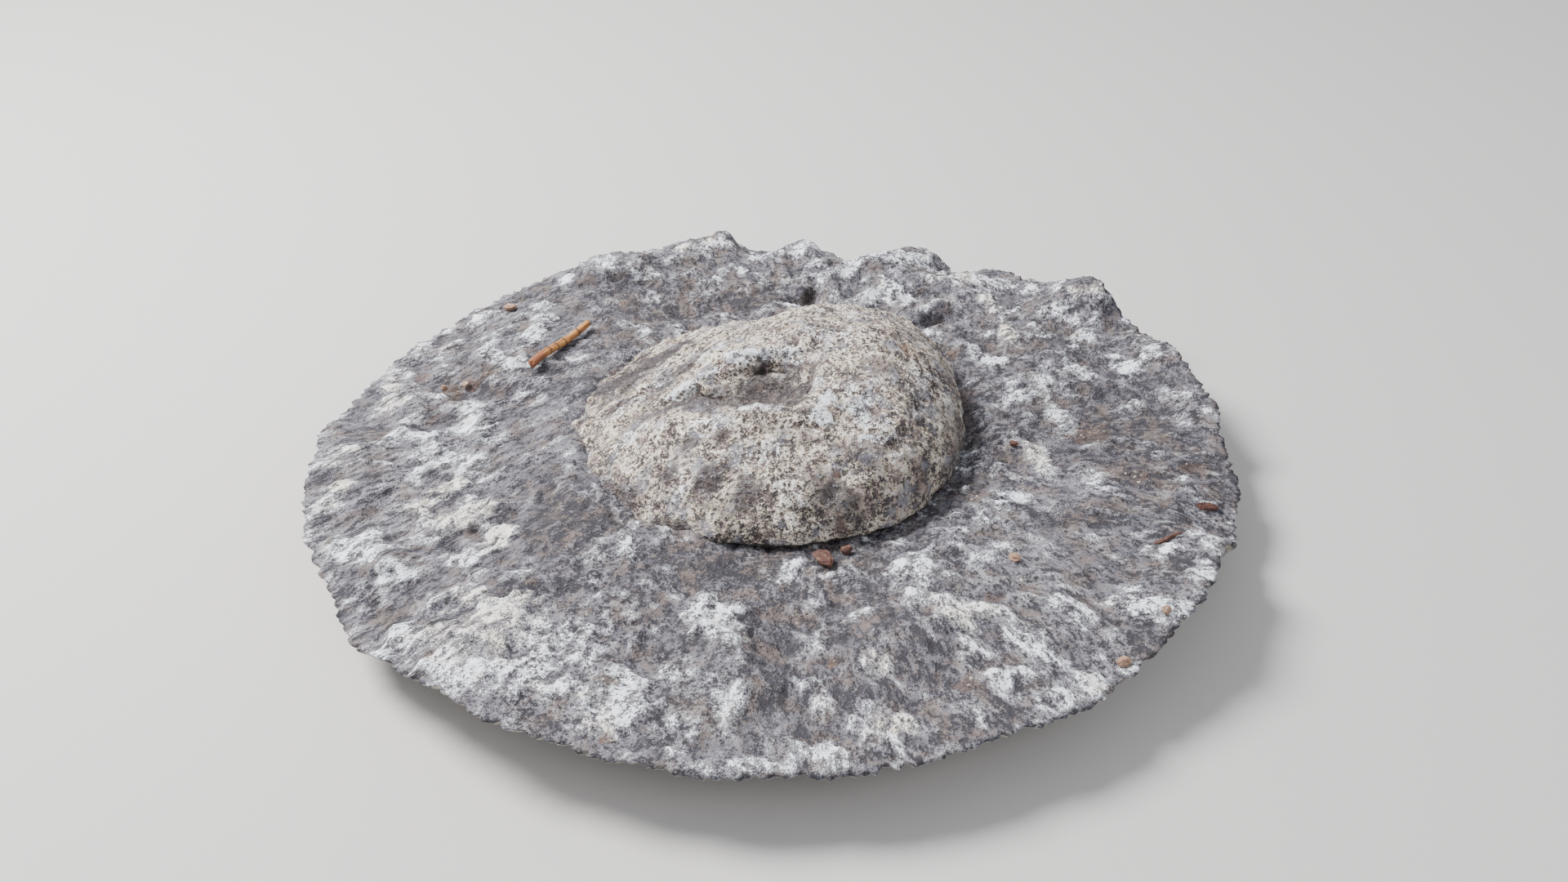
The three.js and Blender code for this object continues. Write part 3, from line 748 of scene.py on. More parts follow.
class Streaks:
    """Noise drawn out along the way that the weather has combed the rock.

    On the left the streaks all run one way. Out to the right and the front they fan out from the
    centre. Between the two the noise isn't combed.
    """

    SLANT = 40  # the left side's streaks, in degrees round from the right
    STRETCH = 2.6  # how much longer than wide they are
    FAN_STRETCH = 0.7 * STRETCH
    FAN_RADIUS = 120.0  # where the fanned streaks keep their true width
    FINER = 0.8  # the combed lumps' width, as a share of the plain ones'

    def __init__(self, noise: Noise) -> None:
        """Keep the noise to draw out."""
        self.noise = noise

    def slant(self, points: Points) -> Points:
        """Return the points squeezed along the left side's streaks."""
        x, y, z = points.T
        along, across = turned(x, y, self.SLANT)
        return np.column_stack([along / self.STRETCH, across, z])

    def fan(self, points: Points) -> Points:
        """Return the points as places round a column, squeezed along the fanned streaks."""
        x, y, _ = points.T
        angle = np.arctan2(y, x)
        out = np.hypot(x, y)
        return np.column_stack([
            self.FAN_RADIUS * np.cos(angle),
            self.FAN_RADIUS * np.sin(angle),
            out / self.FAN_STRETCH,
        ])

    def slanted(self, points: Points) -> Values:
        """Return how far each point belongs to the left side, from 0 to 1."""
        x, y, _ = points.T
        return smooth(-45, -90, x - 0.3 * np.minimum(y + 40, 0)) * 0.9

    def fanned(self, points: Points) -> Values:
        """Return how far each point belongs to where the streaks fan out, from 0 to 1."""
        x, y, _ = points.T
        outer = smooth(72, 118, np.hypot(x, y))
        return outer * smooth(-40, 20, x) * smooth(45, 5, y) * (1 - self.slanted(points))

    def layered(self, points: Points, length: float, layers: int = 4) -> Values:
        """Return layered noise drawn out along the streaks."""
        plain = self.noise.layered(points, length, layers)
        slanted = self.noise.layered(self.slant(points), self.FINER * length, layers)
        fanned = self.noise.layered(self.fan(points), self.FINER * length, layers)
        return mix(mix(plain, slanted, self.slanted(points)), fanned, self.fanned(points))


@dataclass
class Rock:
    """The flake of limestone: a weathered bed, a broken side and a flat sawn base.

    Attributes:
        middle: The shell's middle in the model's frame.
        spokes: Points in each ring of the bed.
        bed_rings: Rings from the shell to the rim.
        tuck: How far the bed runs in under the shell's flank.
        rim_zone: Width of the band at the rim that the teeth reach into.
        wall_rings: Rings down the broken side.
        fillet: How far the bed rises to meet the shell where the two are flush.
        fillet_width: How far out from the shell that rise reaches.
        swell: The height of the bed's broad swells.
        lump: The height of its combed lumps and of its crests.
        grain: The height of its finest grain.
        crust_rise: How far a full crust stands up.
        pit_depth: How deep the round pits are.
        pit_spacing: How far apart they are.
    """

    middle: Points
    spokes: int = 1000
    bed_rings: int = 76
    tuck: float = 2.4
    rim_zone: float = 7.0
    wall_rings: int = 9
    fillet: float = 1.7
    fillet_width: float = 5.0
    swell: float = 0.9
    lump: float = 1.5
    grain: float = 0.4
    crust_rise: float = 0.9
    pit_depth: float = 0.9
    pit_spacing: float = 4.4
    noise: Noise = field(default_factory=lambda: Noise(11))

    FULL_CRUST = 0.82  # where a crust is as thick as it gets
    PITLESS = 0.55  # share of the places for a pit that have none
    MODEL_RINGS = 15  # the model's rings from the shell's flank out to the rim
    GATHERING = 0.06  # how much closer the bed's rings lie halfway out
    RIM_CALM = 0.45  # how much of the relief the rim loses
    SOCKET_RINGS = ((2, 500), (1, 250), (0, 125))  # the model's ring, and how many points it gets
    SOCKET_DROP = 1.0  # how far those rings lie below the model's
    LIP_STEPS = (0.3, 0.65, 1.0)  # shares of the way down the lip
    BASE_RINGS = ((0.96, 2), (0.7, 4), (0.35, 8))  # share of the foot's radius, and step in points

    def __post_init__(self) -> None:
        """Set up the streaks and the shift to the model's frame."""
        self.streaks = Streaks(self.noise)
        self.shift = shift_to(self.middle)

    def fray(self, points: Points) -> Values:
        """Return how the edges of patches wander."""
        coarse = 0.5 * self.noise.layered(points, 13, 3)
        return coarse + 0.3 * self.noise.layered(points + 40, 3.6, 2)

    def lumps(self, points: Points) -> Values:
        """Return the bed's combed lumps, about -1 to 1."""
        return self.streaks.layered(points + 70, 9, 4)

    def crests(self, points: Points) -> Values:
        """Return the bed's sharp crests, about -0.6 to 0.4."""
        return self.noise.ridged(points + 61, 15) - 0.6

    def pits(self, points: Points, edge: float) -> Values:
        """Return how deep in a round pit each point is, from 0 past the pit's edge to 1."""
        near, number = self.noise.cells(points, self.pit_spacing)
        return smooth(edge, 0.1, near) * (number > self.PITLESS)

    def crust(self, points: Points) -> Values:
        """Return how much the bed is crusted; the crust's edge is at one half."""
        x, y, _ = points.T
        fray = self.fray(points)
        grown = np.maximum(cover(WHITE_CRUSTS, x, y, fray), cover(CREAM_CRUSTS, x, y, fray))
        bare = cover(BARE_PLACES, x, y, fray) * (1 - 0.6 * grown)
        level = mix(0.31, 0.84, grown) - 0.26 * bare + 0.3 * self.crests(points)
        level += 0.4 * self.streaks.layered(points, 7.5, 4) + 0.16 * self.lumps(points)
        return np.minimum(level, self.FULL_CRUST)

    def relief(self, points: Points, crust: Values) -> Values:
        """Return the height that the fine relief adds at each point of the bed."""
        x, y, _ = points.T
        jitter = 1.6 * self.noise.layered(points + 21, 7, 3)
        # bare places and the back right are worn smoother
        worn = smooth(20, 60, x) * smooth(0, 50, y)
        calm = 1 - np.maximum(0.5 * cover(BARE_PLACES, x, y, 0 * x), 0.4 * worn)
        height = self.swell * self.noise.layered(points + 5, 26, 2)
        height += self.lump * calm * self.lumps(points)
        height += self.lump * calm * self.crests(points)
        height += self.grain * self.noise.layered(points + 33, 2.8, 2)
        uneven = 1 + 0.6 * self.noise.plain(points, 2.6)
        height += self.crust_rise * smooth(0.38, 0.72, crust) * uneven
        for ledge in LEDGES:
            height += ledge.raised(x, y, jitter)
        height -= self.pit_depth * self.pits(points, 0.42)
        return height - CAVITY_DEPTH * cover(CAVITIES, x, y, 0.2 * jitter)

    def teeth(self, points: Points) -> Values:
        """Return how far each point of the rim stands out of its smooth line."""
        line = SLAB_RADIUS * points / np.hypot(points[:, 0], points[:, 1])[:, None]
        line[:, 2] = 0
        gums = 0.62  # the crests' level that stays on the smooth line
        scallops = 0.8 * self.noise.layered(line, 16, 2)
        coarse = 2.2 * (self.noise.ridged(line, 6, 2) - gums)
        fine = 2.0 * (self.noise.ridged(line + 90, 3.1, 1) - gums)
        return scallops + coarse + fine

    def bed(self) -> tuple[list[Points], RingNet]:
        """Weave the bed's rings, from under the shell's flank out to the rim.

        Returns:
            The rings, and the model's net that they follow.
        """
        net = RingNet.read("matrix", self.middle)
        means = net.radius.mean(axis=1)
        share = np.linspace(0, 1, self.bed_rings)
        spread = share + self.GATHERING * np.sin(2 * np.pi * share)
        places = net.place_at(mix(means[-self.MODEL_RINGS], means[-1], spread))
        rings = np.stack([net.ring(place, self.spokes) for place in places])
        flat = rings.reshape(-1, 3) - self.shift
        crust = self.crust(flat)

        # how far out from the shell each point is, and where the left flank is flush with the bed
        away = np.hypot(*(flat[:, :2] - SHELL_MIDDLE).T)
        outside = away - np.tile(away[: self.spokes], len(rings)) - self.tuck
        flush = smooth(16, -12, flat[:, 0] - 0.5 * flat[:, 1])

        # how near the rim it is
        out = np.hypot(flat[:, 0], flat[:, 1])
        rim = np.tile(out.reshape(len(rings), -1)[-1], len(rings))
        at_rim = smooth(self.rim_zone, 0.0, rim - out)

        finished = flat.copy()
        finished[:, :2] *= (1 + at_rim * self.teeth(flat) / out)[:, None]
        finished[:, 2] += self.relief(flat, crust) * (1 - self.RIM_CALM * at_rim)
        finished[:, 2] += self.fillet * flush * np.exp(-np.square(outside / self.fillet_width))
        rings = (finished + self.shift).reshape(rings.shape)
        return list(rings), net

    def socket(self, edge: Points, net: RingNet) -> list[Points]:
        """Return the rings under the shell, from the deepest one out to the bed's edge."""
        away = edge - np.array([*self.middle, 0.0])
        inward = away[:, :2] / np.hypot(*away[:, :2].T)[:, None]
        tucked = edge.copy()
        tucked[:, :2] -= self.tuck * inward
        tucked[:, 2] -= 0.3 * self.tuck
        rings = [tucked]
        for place, count in self.SOCKET_RINGS:
            ring = net.ring(place, count)
            ring[:, 2] -= self.SOCKET_DROP
            rings.insert(0, ring)
        return rings

    def side(self, rim: Points) -> list[Points]:
        """Return the rings from the rim's lip down the broken side and across the base."""
        out = np.hypot(rim[:, 0], rim[:, 1])
        outward = np.column_stack([rim[:, 0] / out, rim[:, 1] / out, np.zeros(len(rim))])
        rings = []
        for share in self.LIP_STEPS:
            ring = rim - outward * LIP_SETBACK * share**1.5
            ring[:, 2] -= LIP * share
            rings.append(ring)
        lip = rings[-1].copy()
        foot = outward * (FOOT_RADIUS * out / SLAB_RADIUS)[:, None]
        for step in range(1, self.wall_rings + 1):
            share = step / self.wall_rings
            ring = mix(lip, foot, share)
            middle = 4 * share * (1 - share)
            flaked = 3.2 * (self.noise.ridged(ring, 17) - 0.55)
            rough = flaked + 0.8 * self.noise.layered(ring, 5, 2)
            ring += outward * (middle * rough)[:, None]
            ring[:, 2] += 0.6 * middle * rough
            ring[:, 2] = np.maximum(ring[:, 2], 0.0)
            rings.append(ring)
        base = rings[-1]
        base += outward * (1.6 * self.noise.layered(base, 11, 3))[:, None]
        base[:, 2] = 0.0
        for scale, step in self.BASE_RINGS:
            rings.append(base[::step] * np.array([scale, scale, 1.0]))
        return rings

    def build(self, material: Material) -> Object:
        """Make the rock's piece, with the marks that its finish reads."""
        bed, net = self.bed()
        socket = self.socket(bed[0], net)
        side = self.side(bed[-1])
        skin = Skin([*socket, *bed, *side])
        points, faces = skin.points(), skin.faces()
        local = points - self.shift
        x, y, _ = local.T
        fray = self.fray(local)
        starts = skin.starts()
        below = np.zeros(len(points))
        below[starts[len(socket) + len(bed) + 1] :] = 1.0
        sawn = np.zeros(len(points))
        sawn[starts[-1 - len(self.BASE_RINGS)] :] = 1.0
        marks = {
            "crust": self.crust(local) - 0.5 * below,
            "cream": cover(CREAM_CRUSTS, x, y, fray),
            "bare": cover(BARE_PLACES, x, y, fray),
            "soil": cover(SOIL_POCKETS, x, y, 1.4 * fray) * (1 - below),
            "shade": np.maximum(cover(CAVITIES, x, y, 0.2 * fray), 0.6 * self.pits(local, 0.5)),
            "broken": below,
            "sawn": sawn,
            "fan": self.streaks.fan(local) * MM,
            "fanned": self.streaks.fanned(local),
            "slanted": self.streaks.slanted(local),
        }
        return make_piece("weathered_rock", points, faces, material, **marks)


# -----------------------------------------------------------------------------
# The shell
# -----------------------------------------------------------------------------


@dataclass
class Fossil:
    """The bivalve: a pitted upper valve, a flank that runs into the rock, and a buried lower valve.

    Attributes:
        middle: Its middle in the model's frame.
        step: The distance between its rings.
        run_in: Width of the band in which the flank's edge goes down to run out into the bed.
        dip: How far the flank's foot goes down into the bed.
        wobble: How far the outline wanders in and out.
        wobble_width: Width of the band at the outline that wanders with it.
        swell: The height of the valve's broad swells.
        knob: The height of its knobs and crests.
        grain: The height of its finest grain.
        white_rise: How far the white places stand up.
        pit_depth: How deep its small pits are.
        counts: Mean radius up to which a ring has each number of points.
    """

    middle: Points
    step: float = 0.43
    run_in: float = 7.0
    dip: float = 1.3
    wobble: float = 1.1
    wobble_width: float = 14.0
    swell: float = 0.9
    knob: float = 1.1
    grain: float = 0.2
    white_rise: float = 0.45
    pit_depth: float = 0.75
    counts: tuple[tuple[float, int], ...] = ((5, 50), (11, 100), (21, 200), (40, 400), (99, 800))
    noise: Noise = field(default_factory=lambda: Noise(29))

    UPPER_RINGS = 12  # the model's rings in the upper valve
    LOWER_RINGS = 4  # and in the lower one
    FLANK_STEPS = (0.35, 0.7, 1.0)  # shares of the way from the widest ring down to the foot
    SOLE_RINGS = ((1, 400), (2, 200), (3, 100))  # the model's ring, and how many points it gets
    SOLE_SETBACK = 0.6  # how far the lower valve's buried edge lies in from the foot

    def __post_init__(self) -> None:
        """Set up the shift to the model's frame."""
        self.shift = shift_to(self.middle)

    def count_at(self, radius: float) -> int:
        """Return how many points a ring of a mean radius has."""
        return next(count for limit, count in self.counts if radius <= limit)

    def fray(self, points: Points) -> Values:
        """Return how the edges of patches wander."""
        return 0.5 * self.noise.layered(points, 8, 3) + 0.25 * self.noise.plain(points, 2.2)

    def pits(self, points: Points) -> Values:
        """Return how far each point lies in a small ragged pit, from 0 to 1."""
        bent = points + self.noise.layered(points + 8, 2.4, 2)[:, None] * np.array([0.9, -0.8, 0.7])
        deep, number = self.noise.cells(bent, 3.1)
        small, draw = self.noise.cells(bent + 31, 1.6)
        wide = smooth(0.52, 0.12, deep) * smooth(0.5, 1.0, number)
        fine = smooth(0.55, 0.2, small) * smooth(0.55, 1.0, draw)
        gathered = smooth(-0.5, 0.5, self.noise.layered(points + 90, 11, 2))
        return np.maximum(0.8 * wide, 0.75 * fine) * (0.3 + 0.7 * gathered)

    def combed(self, points: Points) -> Values:
        """Return how far each point lies on the streaked back left slope, from 0 to 1."""
        x, y, _ = points.T
        return smooth(6, -26, x - 0.3 * y) * smooth(-8, 12, y)

    def lift(self, points: Points) -> Values:
        """Return the valve's knobs and crests, about -1 to 1; the finish paints light on top, shade
        between.
        """
        crests = 0.9 * (self.noise.ridged(points, 12, 3) - 0.6)
        knobs = 0.5 * self.noise.layered(points, 5, 3) + crests
        streaks = self.noise.layered(Streaks(self.noise).slant(points), 4.2, 3)
        return knobs + 0.7 * streaks * self.combed(points)

    def cut(self, x: Values, y: Values, fray: Values) -> Values:
        """Return how far each point lies in one of the deep gashes, from 0 to 1."""
        return np.max([gash.sunk(x, y, fray) / gash.depth for gash in DEEP_GASHES], axis=0)

    def relief(self, points: Points, pits: Values) -> Values:
        """Return how far the fine relief stands out of the valve at each point."""
        x, y, _ = points.T
        jitter = 1.5 * self.noise.layered(points + 3, 6, 3)
        height = self.swell * self.noise.layered(points + 11, 17, 3) + self.knob * self.lift(points)
        height += self.grain * self.noise.layered(points + 47, 1.9, 2)
        whites = cover(SHELL_WHITES, x, y, self.fray(points))
        height += self.white_rise * smooth(0.2, 0.9, whites)
        height -= self.pit_depth * pits
        for ledge in SHELL_LEDGES:
            height += ledge.raised(x, y, jitter)
        for swell in SHELL_SWELLS:
            height += swell.strength * np.exp(-np.square(swell.reach(x, y)))
        for gash in (*DEEP_GASHES, *SHALLOW_GASHES):
            height -= gash.sunk(x, y, jitter)
        return height

    def valves(self) -> tuple[RingNet, RingNet]:
        """Read the two valves back from the model.

        Returns:
            The upper valve's net, outwards from the crown, and the lower valve's, inwards.
        """
        net = RingNet.read("shell", self.middle)
        upper = net.valve(Valve.UPPER, self.UPPER_RINGS)
        points = node_points("shell")
        on_axis = np.hypot(*(points[:, :2] - self.middle).T) < ON_AXIS
        crown = points[on_axis, 2].max()
        upper.radius = np.concatenate([np.zeros((1, RingNet.SPOKES)), upper.radius])
        upper.height = np.concatenate([np.full((1, RingNet.SPOKES), crown), upper.height])
        return upper, net.valve(Valve.LOWER, self.LOWER_RINGS)

    def dome(self, upper: RingNet, lower: RingNet) -> list[Points]:
        """Return the upper valve's rings, from the crown out to the widest one."""
        edge = upper.radius[-1].mean()
        radii = np.append(np.arange(self.step, edge - 0.5 * self.step, self.step), edge)
        rings = []
        for radius, place in zip(radii, upper.place_at(radii)):
            ring = upper.ring(place, self.count_at(radius))
            run_out = self.run_out(upper, lower, len(ring))
            ring[:, 2] -= run_out * smooth(edge - self.run_in, edge, radius)
            rings.append(ring)
        return rings

    def wandering(self, points: Points, upper: RingNet) -> Points:
        """Return how far each point moves in the plan, so that the outline wanders."""
        away = points[:, :2] - SHELL_MIDDLE
        out = np.hypot(*away.T)[:, None]
        near_edge = smooth(self.wobble_width, 0.0, self.to_edge(points, upper))
        wobble = near_edge * self.noise.layered(points * np.array([1, 1, 0]) + 77, 11, 3)
        return self.wobble * wobble[:, None] * away / np.maximum(out, 1.0)

    def build(self, material: Material) -> Object:
        """Make the shell's piece, with the marks that its finish reads."""
        upper, lower = self.valves()
        dome = self.dome(upper, lower)
        skin = Skin([*dome, *self.skirt(upper, lower)])
        points, faces = skin.points(), skin.faces()
        local = points - self.shift
        outside = np.ones(len(points))
        outside[skin.starts()[len(dome)] :] = 0.0
        x, y, _ = local.T
        pits = self.pits(local) * outside
        fray = self.fray(local)
        depth = self.relief(local, pits) * outside
        points = points + normals_of(points, faces) * depth[:, None]
        points[:, :2] += self.wandering(local, upper)
        marks = {
            "pits": pits,
            "white": cover(SHELL_WHITES, x, y, fray),
            "grey": cover(SHELL_GREYS, x, y, fray),
            "soil": cover(SHELL_SOILS, x, y, fray),
            "combed": self.combed(local),
            "dull": self.dull(local, upper),
            "lift": self.lift(local),
            "cut": self.cut(x, y, fray),
            "skirt": 1 - outside,
        }
        return make_piece("fossil_valves", points, faces, material, **marks)

    def dull(self, points: Points, upper: RingNet) -> Values:
        """Return how greyed each point is: on the right flank, and where the edge meets the bed."""
        x, y, _ = points.T
        flank = smooth(12, 46, x - 0.25 * y)
        inside = self.to_edge(points, upper)
        merging = smooth(14, 1, inside) * smooth(10, -40, x)
        slope = 1.2 * smooth(38, 4, inside) * self.combed(points)
        return np.maximum(1.2 * flank, np.maximum(1.6 * merging, slope))

    def run_out(self, upper: RingNet, lower: RingNet, count: int) -> Values:
        """Return how far the edge goes down into the bed: nothing where it overhangs."""
        around = np.arange(count) * RingNet.SPOKES / count
        overhang = catmull(upper.height[-1] - lower.height[0], around, closed=True)
        return smooth(1.7, 0.9, overhang) * (overhang + 0.6)

    def to_edge(self, points: Points, upper: RingNet) -> Values:
        """Return how far in from the shell's outline each point lies."""
        away = points[:, :2] - SHELL_MIDDLE
        around = np.arctan2(away[:, 1], away[:, 0]) * RingNet.SPOKES / (2 * np.pi)
        return catmull(upper.radius[-1], around, closed=True) - np.hypot(*away.T)

    def skirt(self, upper: RingNet, lower: RingNet) -> list[Points]:
        """Return the rings below the shell's widest ring, in to the lower valve's sole."""
        count = self.counts[-1][1]
        run_out = self.run_out(upper, lower, count)
        girth = upper.ring(self.UPPER_RINGS, count)
        girth[:, 2] -= run_out
        foot = lower.ring(0, count)
        foot[:, 2] -= run_out
        flank = [mix(girth, foot, share) for share in self.FLANK_STEPS]
        sunk = foot.copy()
        away = sunk[:, :2] - self.middle
        sunk[:, :2] -= self.SOLE_SETBACK * away / np.hypot(*away.T)[:, None]
        sunk[:, 2] -= self.dip
        sole = [lower.ring(place, spokes) for place, spokes in self.SOLE_RINGS]
        return [*flank, sunk, *sole]


# -----------------------------------------------------------------------------
# Shader maths
# -----------------------------------------------------------------------------

Colour = tuple[float, float, float]


class Nodes:
    """A node tree, with the one way in which nodes are added to it."""

    def __init__(self, tree: NodeTree) -> None:
        """Wrap a tree."""
        self.tree = tree

    def add(
        self,
        kind: str,
        settings: dict[str, Any],
        inputs: dict[int | str, Any],
        output: int | str = 0,
    ) -> "Wire":
        """Add a node.

        Args:
            kind: The node's type.
            settings: The node's own settings, which are made first.
            inputs: A wire or a value for each socket, by its place or its name.
            output: Which output to return.

        Returns:
            The output, as a wire.
        """
        node = self.tree.nodes.new(kind)
        for name, value in settings.items():
            setattr(node, name, value)
        for key, value in inputs.items():
            socket = node.inputs[key]
            if isinstance(value, Wire):
                self.tree.links.new(value.socket, socket)
            else:
                socket.default_value = value
        return Wire(self, node.outputs[output])


class Wire:
    """A node's socket that Python expressions can add to, subtract from and multiply."""

    def __init__(self, nodes: Nodes, socket: NodeSocket) -> None:
        """Wrap a socket."""
        self.nodes = nodes
        self.socket = socket

    def _math(self, operation: str, first: Any, second: Any) -> "Wire":
        """Return the result of a Math node on two wires or numbers."""
        return self.nodes.add("ShaderNodeMath", {"operation": operation}, {0: first, 1: second})

    def __add__(self, other: Any) -> "Wire":
        """Return the sum."""
        return self._math("ADD", self, other)

    __radd__ = __add__

    def __sub__(self, other: Any) -> "Wire":
        """Return the difference."""
        return self._math("SUBTRACT", self, other)

    def __rsub__(self, other: float) -> "Wire":
        """Return a number minus this wire."""
        return self._math("SUBTRACT", other, self)

    def __mul__(self, other: Any) -> "Wire":
        """Return the product."""
        return self._math("MULTIPLY", self, other)

    __rmul__ = __mul__

    def __or__(self, other: "Wire") -> "Wire":
        """Return the greater of two masks."""
        return self._math("MAXIMUM", self, other)

    def step(self, low: float, high: float) -> "Wire":
        """Return an eased step, from 0 at low to 1 at high."""
        limits = {"Value": self, "From Min": low, "From Max": high}
        settings = {"interpolation_type": "SMOOTHSTEP", "clamp": True}
        return self.nodes.add("ShaderNodeMapRange", settings, limits)


class Palette(Nodes):
    """One material's node tree, with the patterns that the finishes share."""

    def __init__(self, name: str) -> None:
        """Start an empty material of a name."""
        self.material = bpy.data.materials.new(name)
        self.material.use_nodes = True
        super().__init__(self.material.node_tree)
        self.tree.nodes.clear()

    def place(self) -> Wire:
        """Return the object's own coordinates."""
        return self.add("ShaderNodeTexCoord", {}, {}, "Object")

    def mark(self, name: str) -> Wire:
        """Return a number kept on the points."""
        return self.add("ShaderNodeAttribute", {"attribute_name": name}, {}, "Fac")

    def mark_vector(self, name: str) -> Wire:
        """Return a vector kept on the points."""
        return self.add("ShaderNodeAttribute", {"attribute_name": name}, {}, "Vector")

    def turned(self, place: Wire, degrees: float, stretch: float) -> Wire:
        """Return coordinates squeezed along a direction in the plan.

        Args:
            place: The coordinates.
            degrees: The direction.
            stretch: How much longer the pattern gets that way.

        Returns:
            The new coordinates.
        """
        settings = {"vector_type": "TEXTURE"}
        inputs = {
            "Vector": place,
            "Rotation": (0.0, 0.0, math.radians(degrees)),
            "Scale": (stretch, 1.0, 1.0),
        }
        return self.add("ShaderNodeMapping", settings, inputs)

    def noise(
        self, place: Wire, length: float, detail: float = 3.0, roughness: float = 0.55
    ) -> Wire:
        """Return cloudy noise, 0 to 1, whose lumps are about a length in millimetres across."""
        inputs = {
            "Vector": place,
            "Scale": 1 / (length * MM),
            "Detail": detail,
            "Roughness": roughness,
        }
        return self.add("ShaderNodeTexNoise", {"noise_dimensions": "3D"}, inputs, "Fac")

    def dots(self, place: Wire, length: float) -> Wire:
        """Return the distance to the nearest of scattered dots, 0 to about 1, a length apart."""
        inputs = {"Vector": place, "Scale": 1 / (length * MM), "Randomness": 1.0}
        settings = {"voronoi_dimensions": "3D", "feature": "F1"}
        return self.add("ShaderNodeTexVoronoi", settings, inputs, "Distance")

    def ramp(self, value: Wire, stops: tuple[tuple[float, Colour], ...]) -> Wire:
        """Return the colour that a value picks out between stops, each a place and a colour."""
        node = self.tree.nodes.new("ShaderNodeValToRGB")
        marks = node.color_ramp.elements
        while len(marks) < len(stops):
            marks.new(0.5)
        # the marks are put in order as they move, so their colours come afterwards
        for mark, (place, _) in zip(marks, stops):
            mark.position = place
        for mark, (_, colour) in zip(marks, stops):
            mark.color = (*colour, 1.0)
        self.tree.links.new(value.socket, node.inputs[0])
        return Wire(self, node.outputs[0])

    def blend(self, first: Any, second: Any, share: Any) -> Wire:
        """Return the colour a share of the way from the first to the second."""
        settings = {"data_type": "RGBA", "blend_type": "MIX", "clamp_factor": True}
        ends = [(*end, 1.0) if isinstance(end, tuple) else end for end in (first, second)]
        return self.add("ShaderNodeMix", settings, {0: share, 6: ends[0], 7: ends[1]}, 2)

    def blend_number(self, first: Any, second: Any, share: Any) -> Wire:
        """Return the number a share of the way from the first to the second."""
        settings = {"data_type": "FLOAT", "clamp_factor": True}
        return self.add("ShaderNodeMix", settings, {0: share, 2: first, 3: second}, 0)

    def finish(
        self, colour: Any, roughness: Any, height: Wire | None, depth: float, specular: float = 0.3
    ) -> Material:
        """End the tree in a shader.

        Args:
            colour: The base colour.
            roughness: The roughness.
            height: The height of the finest relief, 0 to 1, or nothing.
            depth: What a height of 1 measures, in millimetres.
            specular: The shader's specular level.

        Returns:
            The finished material.
        """
        inputs: dict[int | str, Any] = {
            "Base Color": (*colour, 1.0) if isinstance(colour, tuple) else colour,
            "Roughness": roughness,
            "Specular IOR Level": specular,
        }
        if height is not None:
            bump = {"Height": height, "Strength": 1.0, "Distance": depth * MM}
            inputs["Normal"] = self.add("ShaderNodeBump", {}, bump, "Normal")
        shader = self.add("ShaderNodeBsdfPrincipled", {}, inputs, "BSDF")
        output = self.tree.nodes.new("ShaderNodeOutputMaterial")
        self.tree.links.new(shader.socket, output.inputs["Surface"])
        return self.material


def srgb(red: int, green: int, blue: int) -> Colour:
    """Turn a colour's screen values, 0 to 255, into the light that a shader works in."""
    return tuple(
        share / 12.92 if share <= 0.04045 else ((share + 0.055) / 1.055) ** 2.4
        for share in (red / 255, green / 255, blue / 255)
    )


# -----------------------------------------------------------------------------
# Finishes
# -----------------------------------------------------------------------------


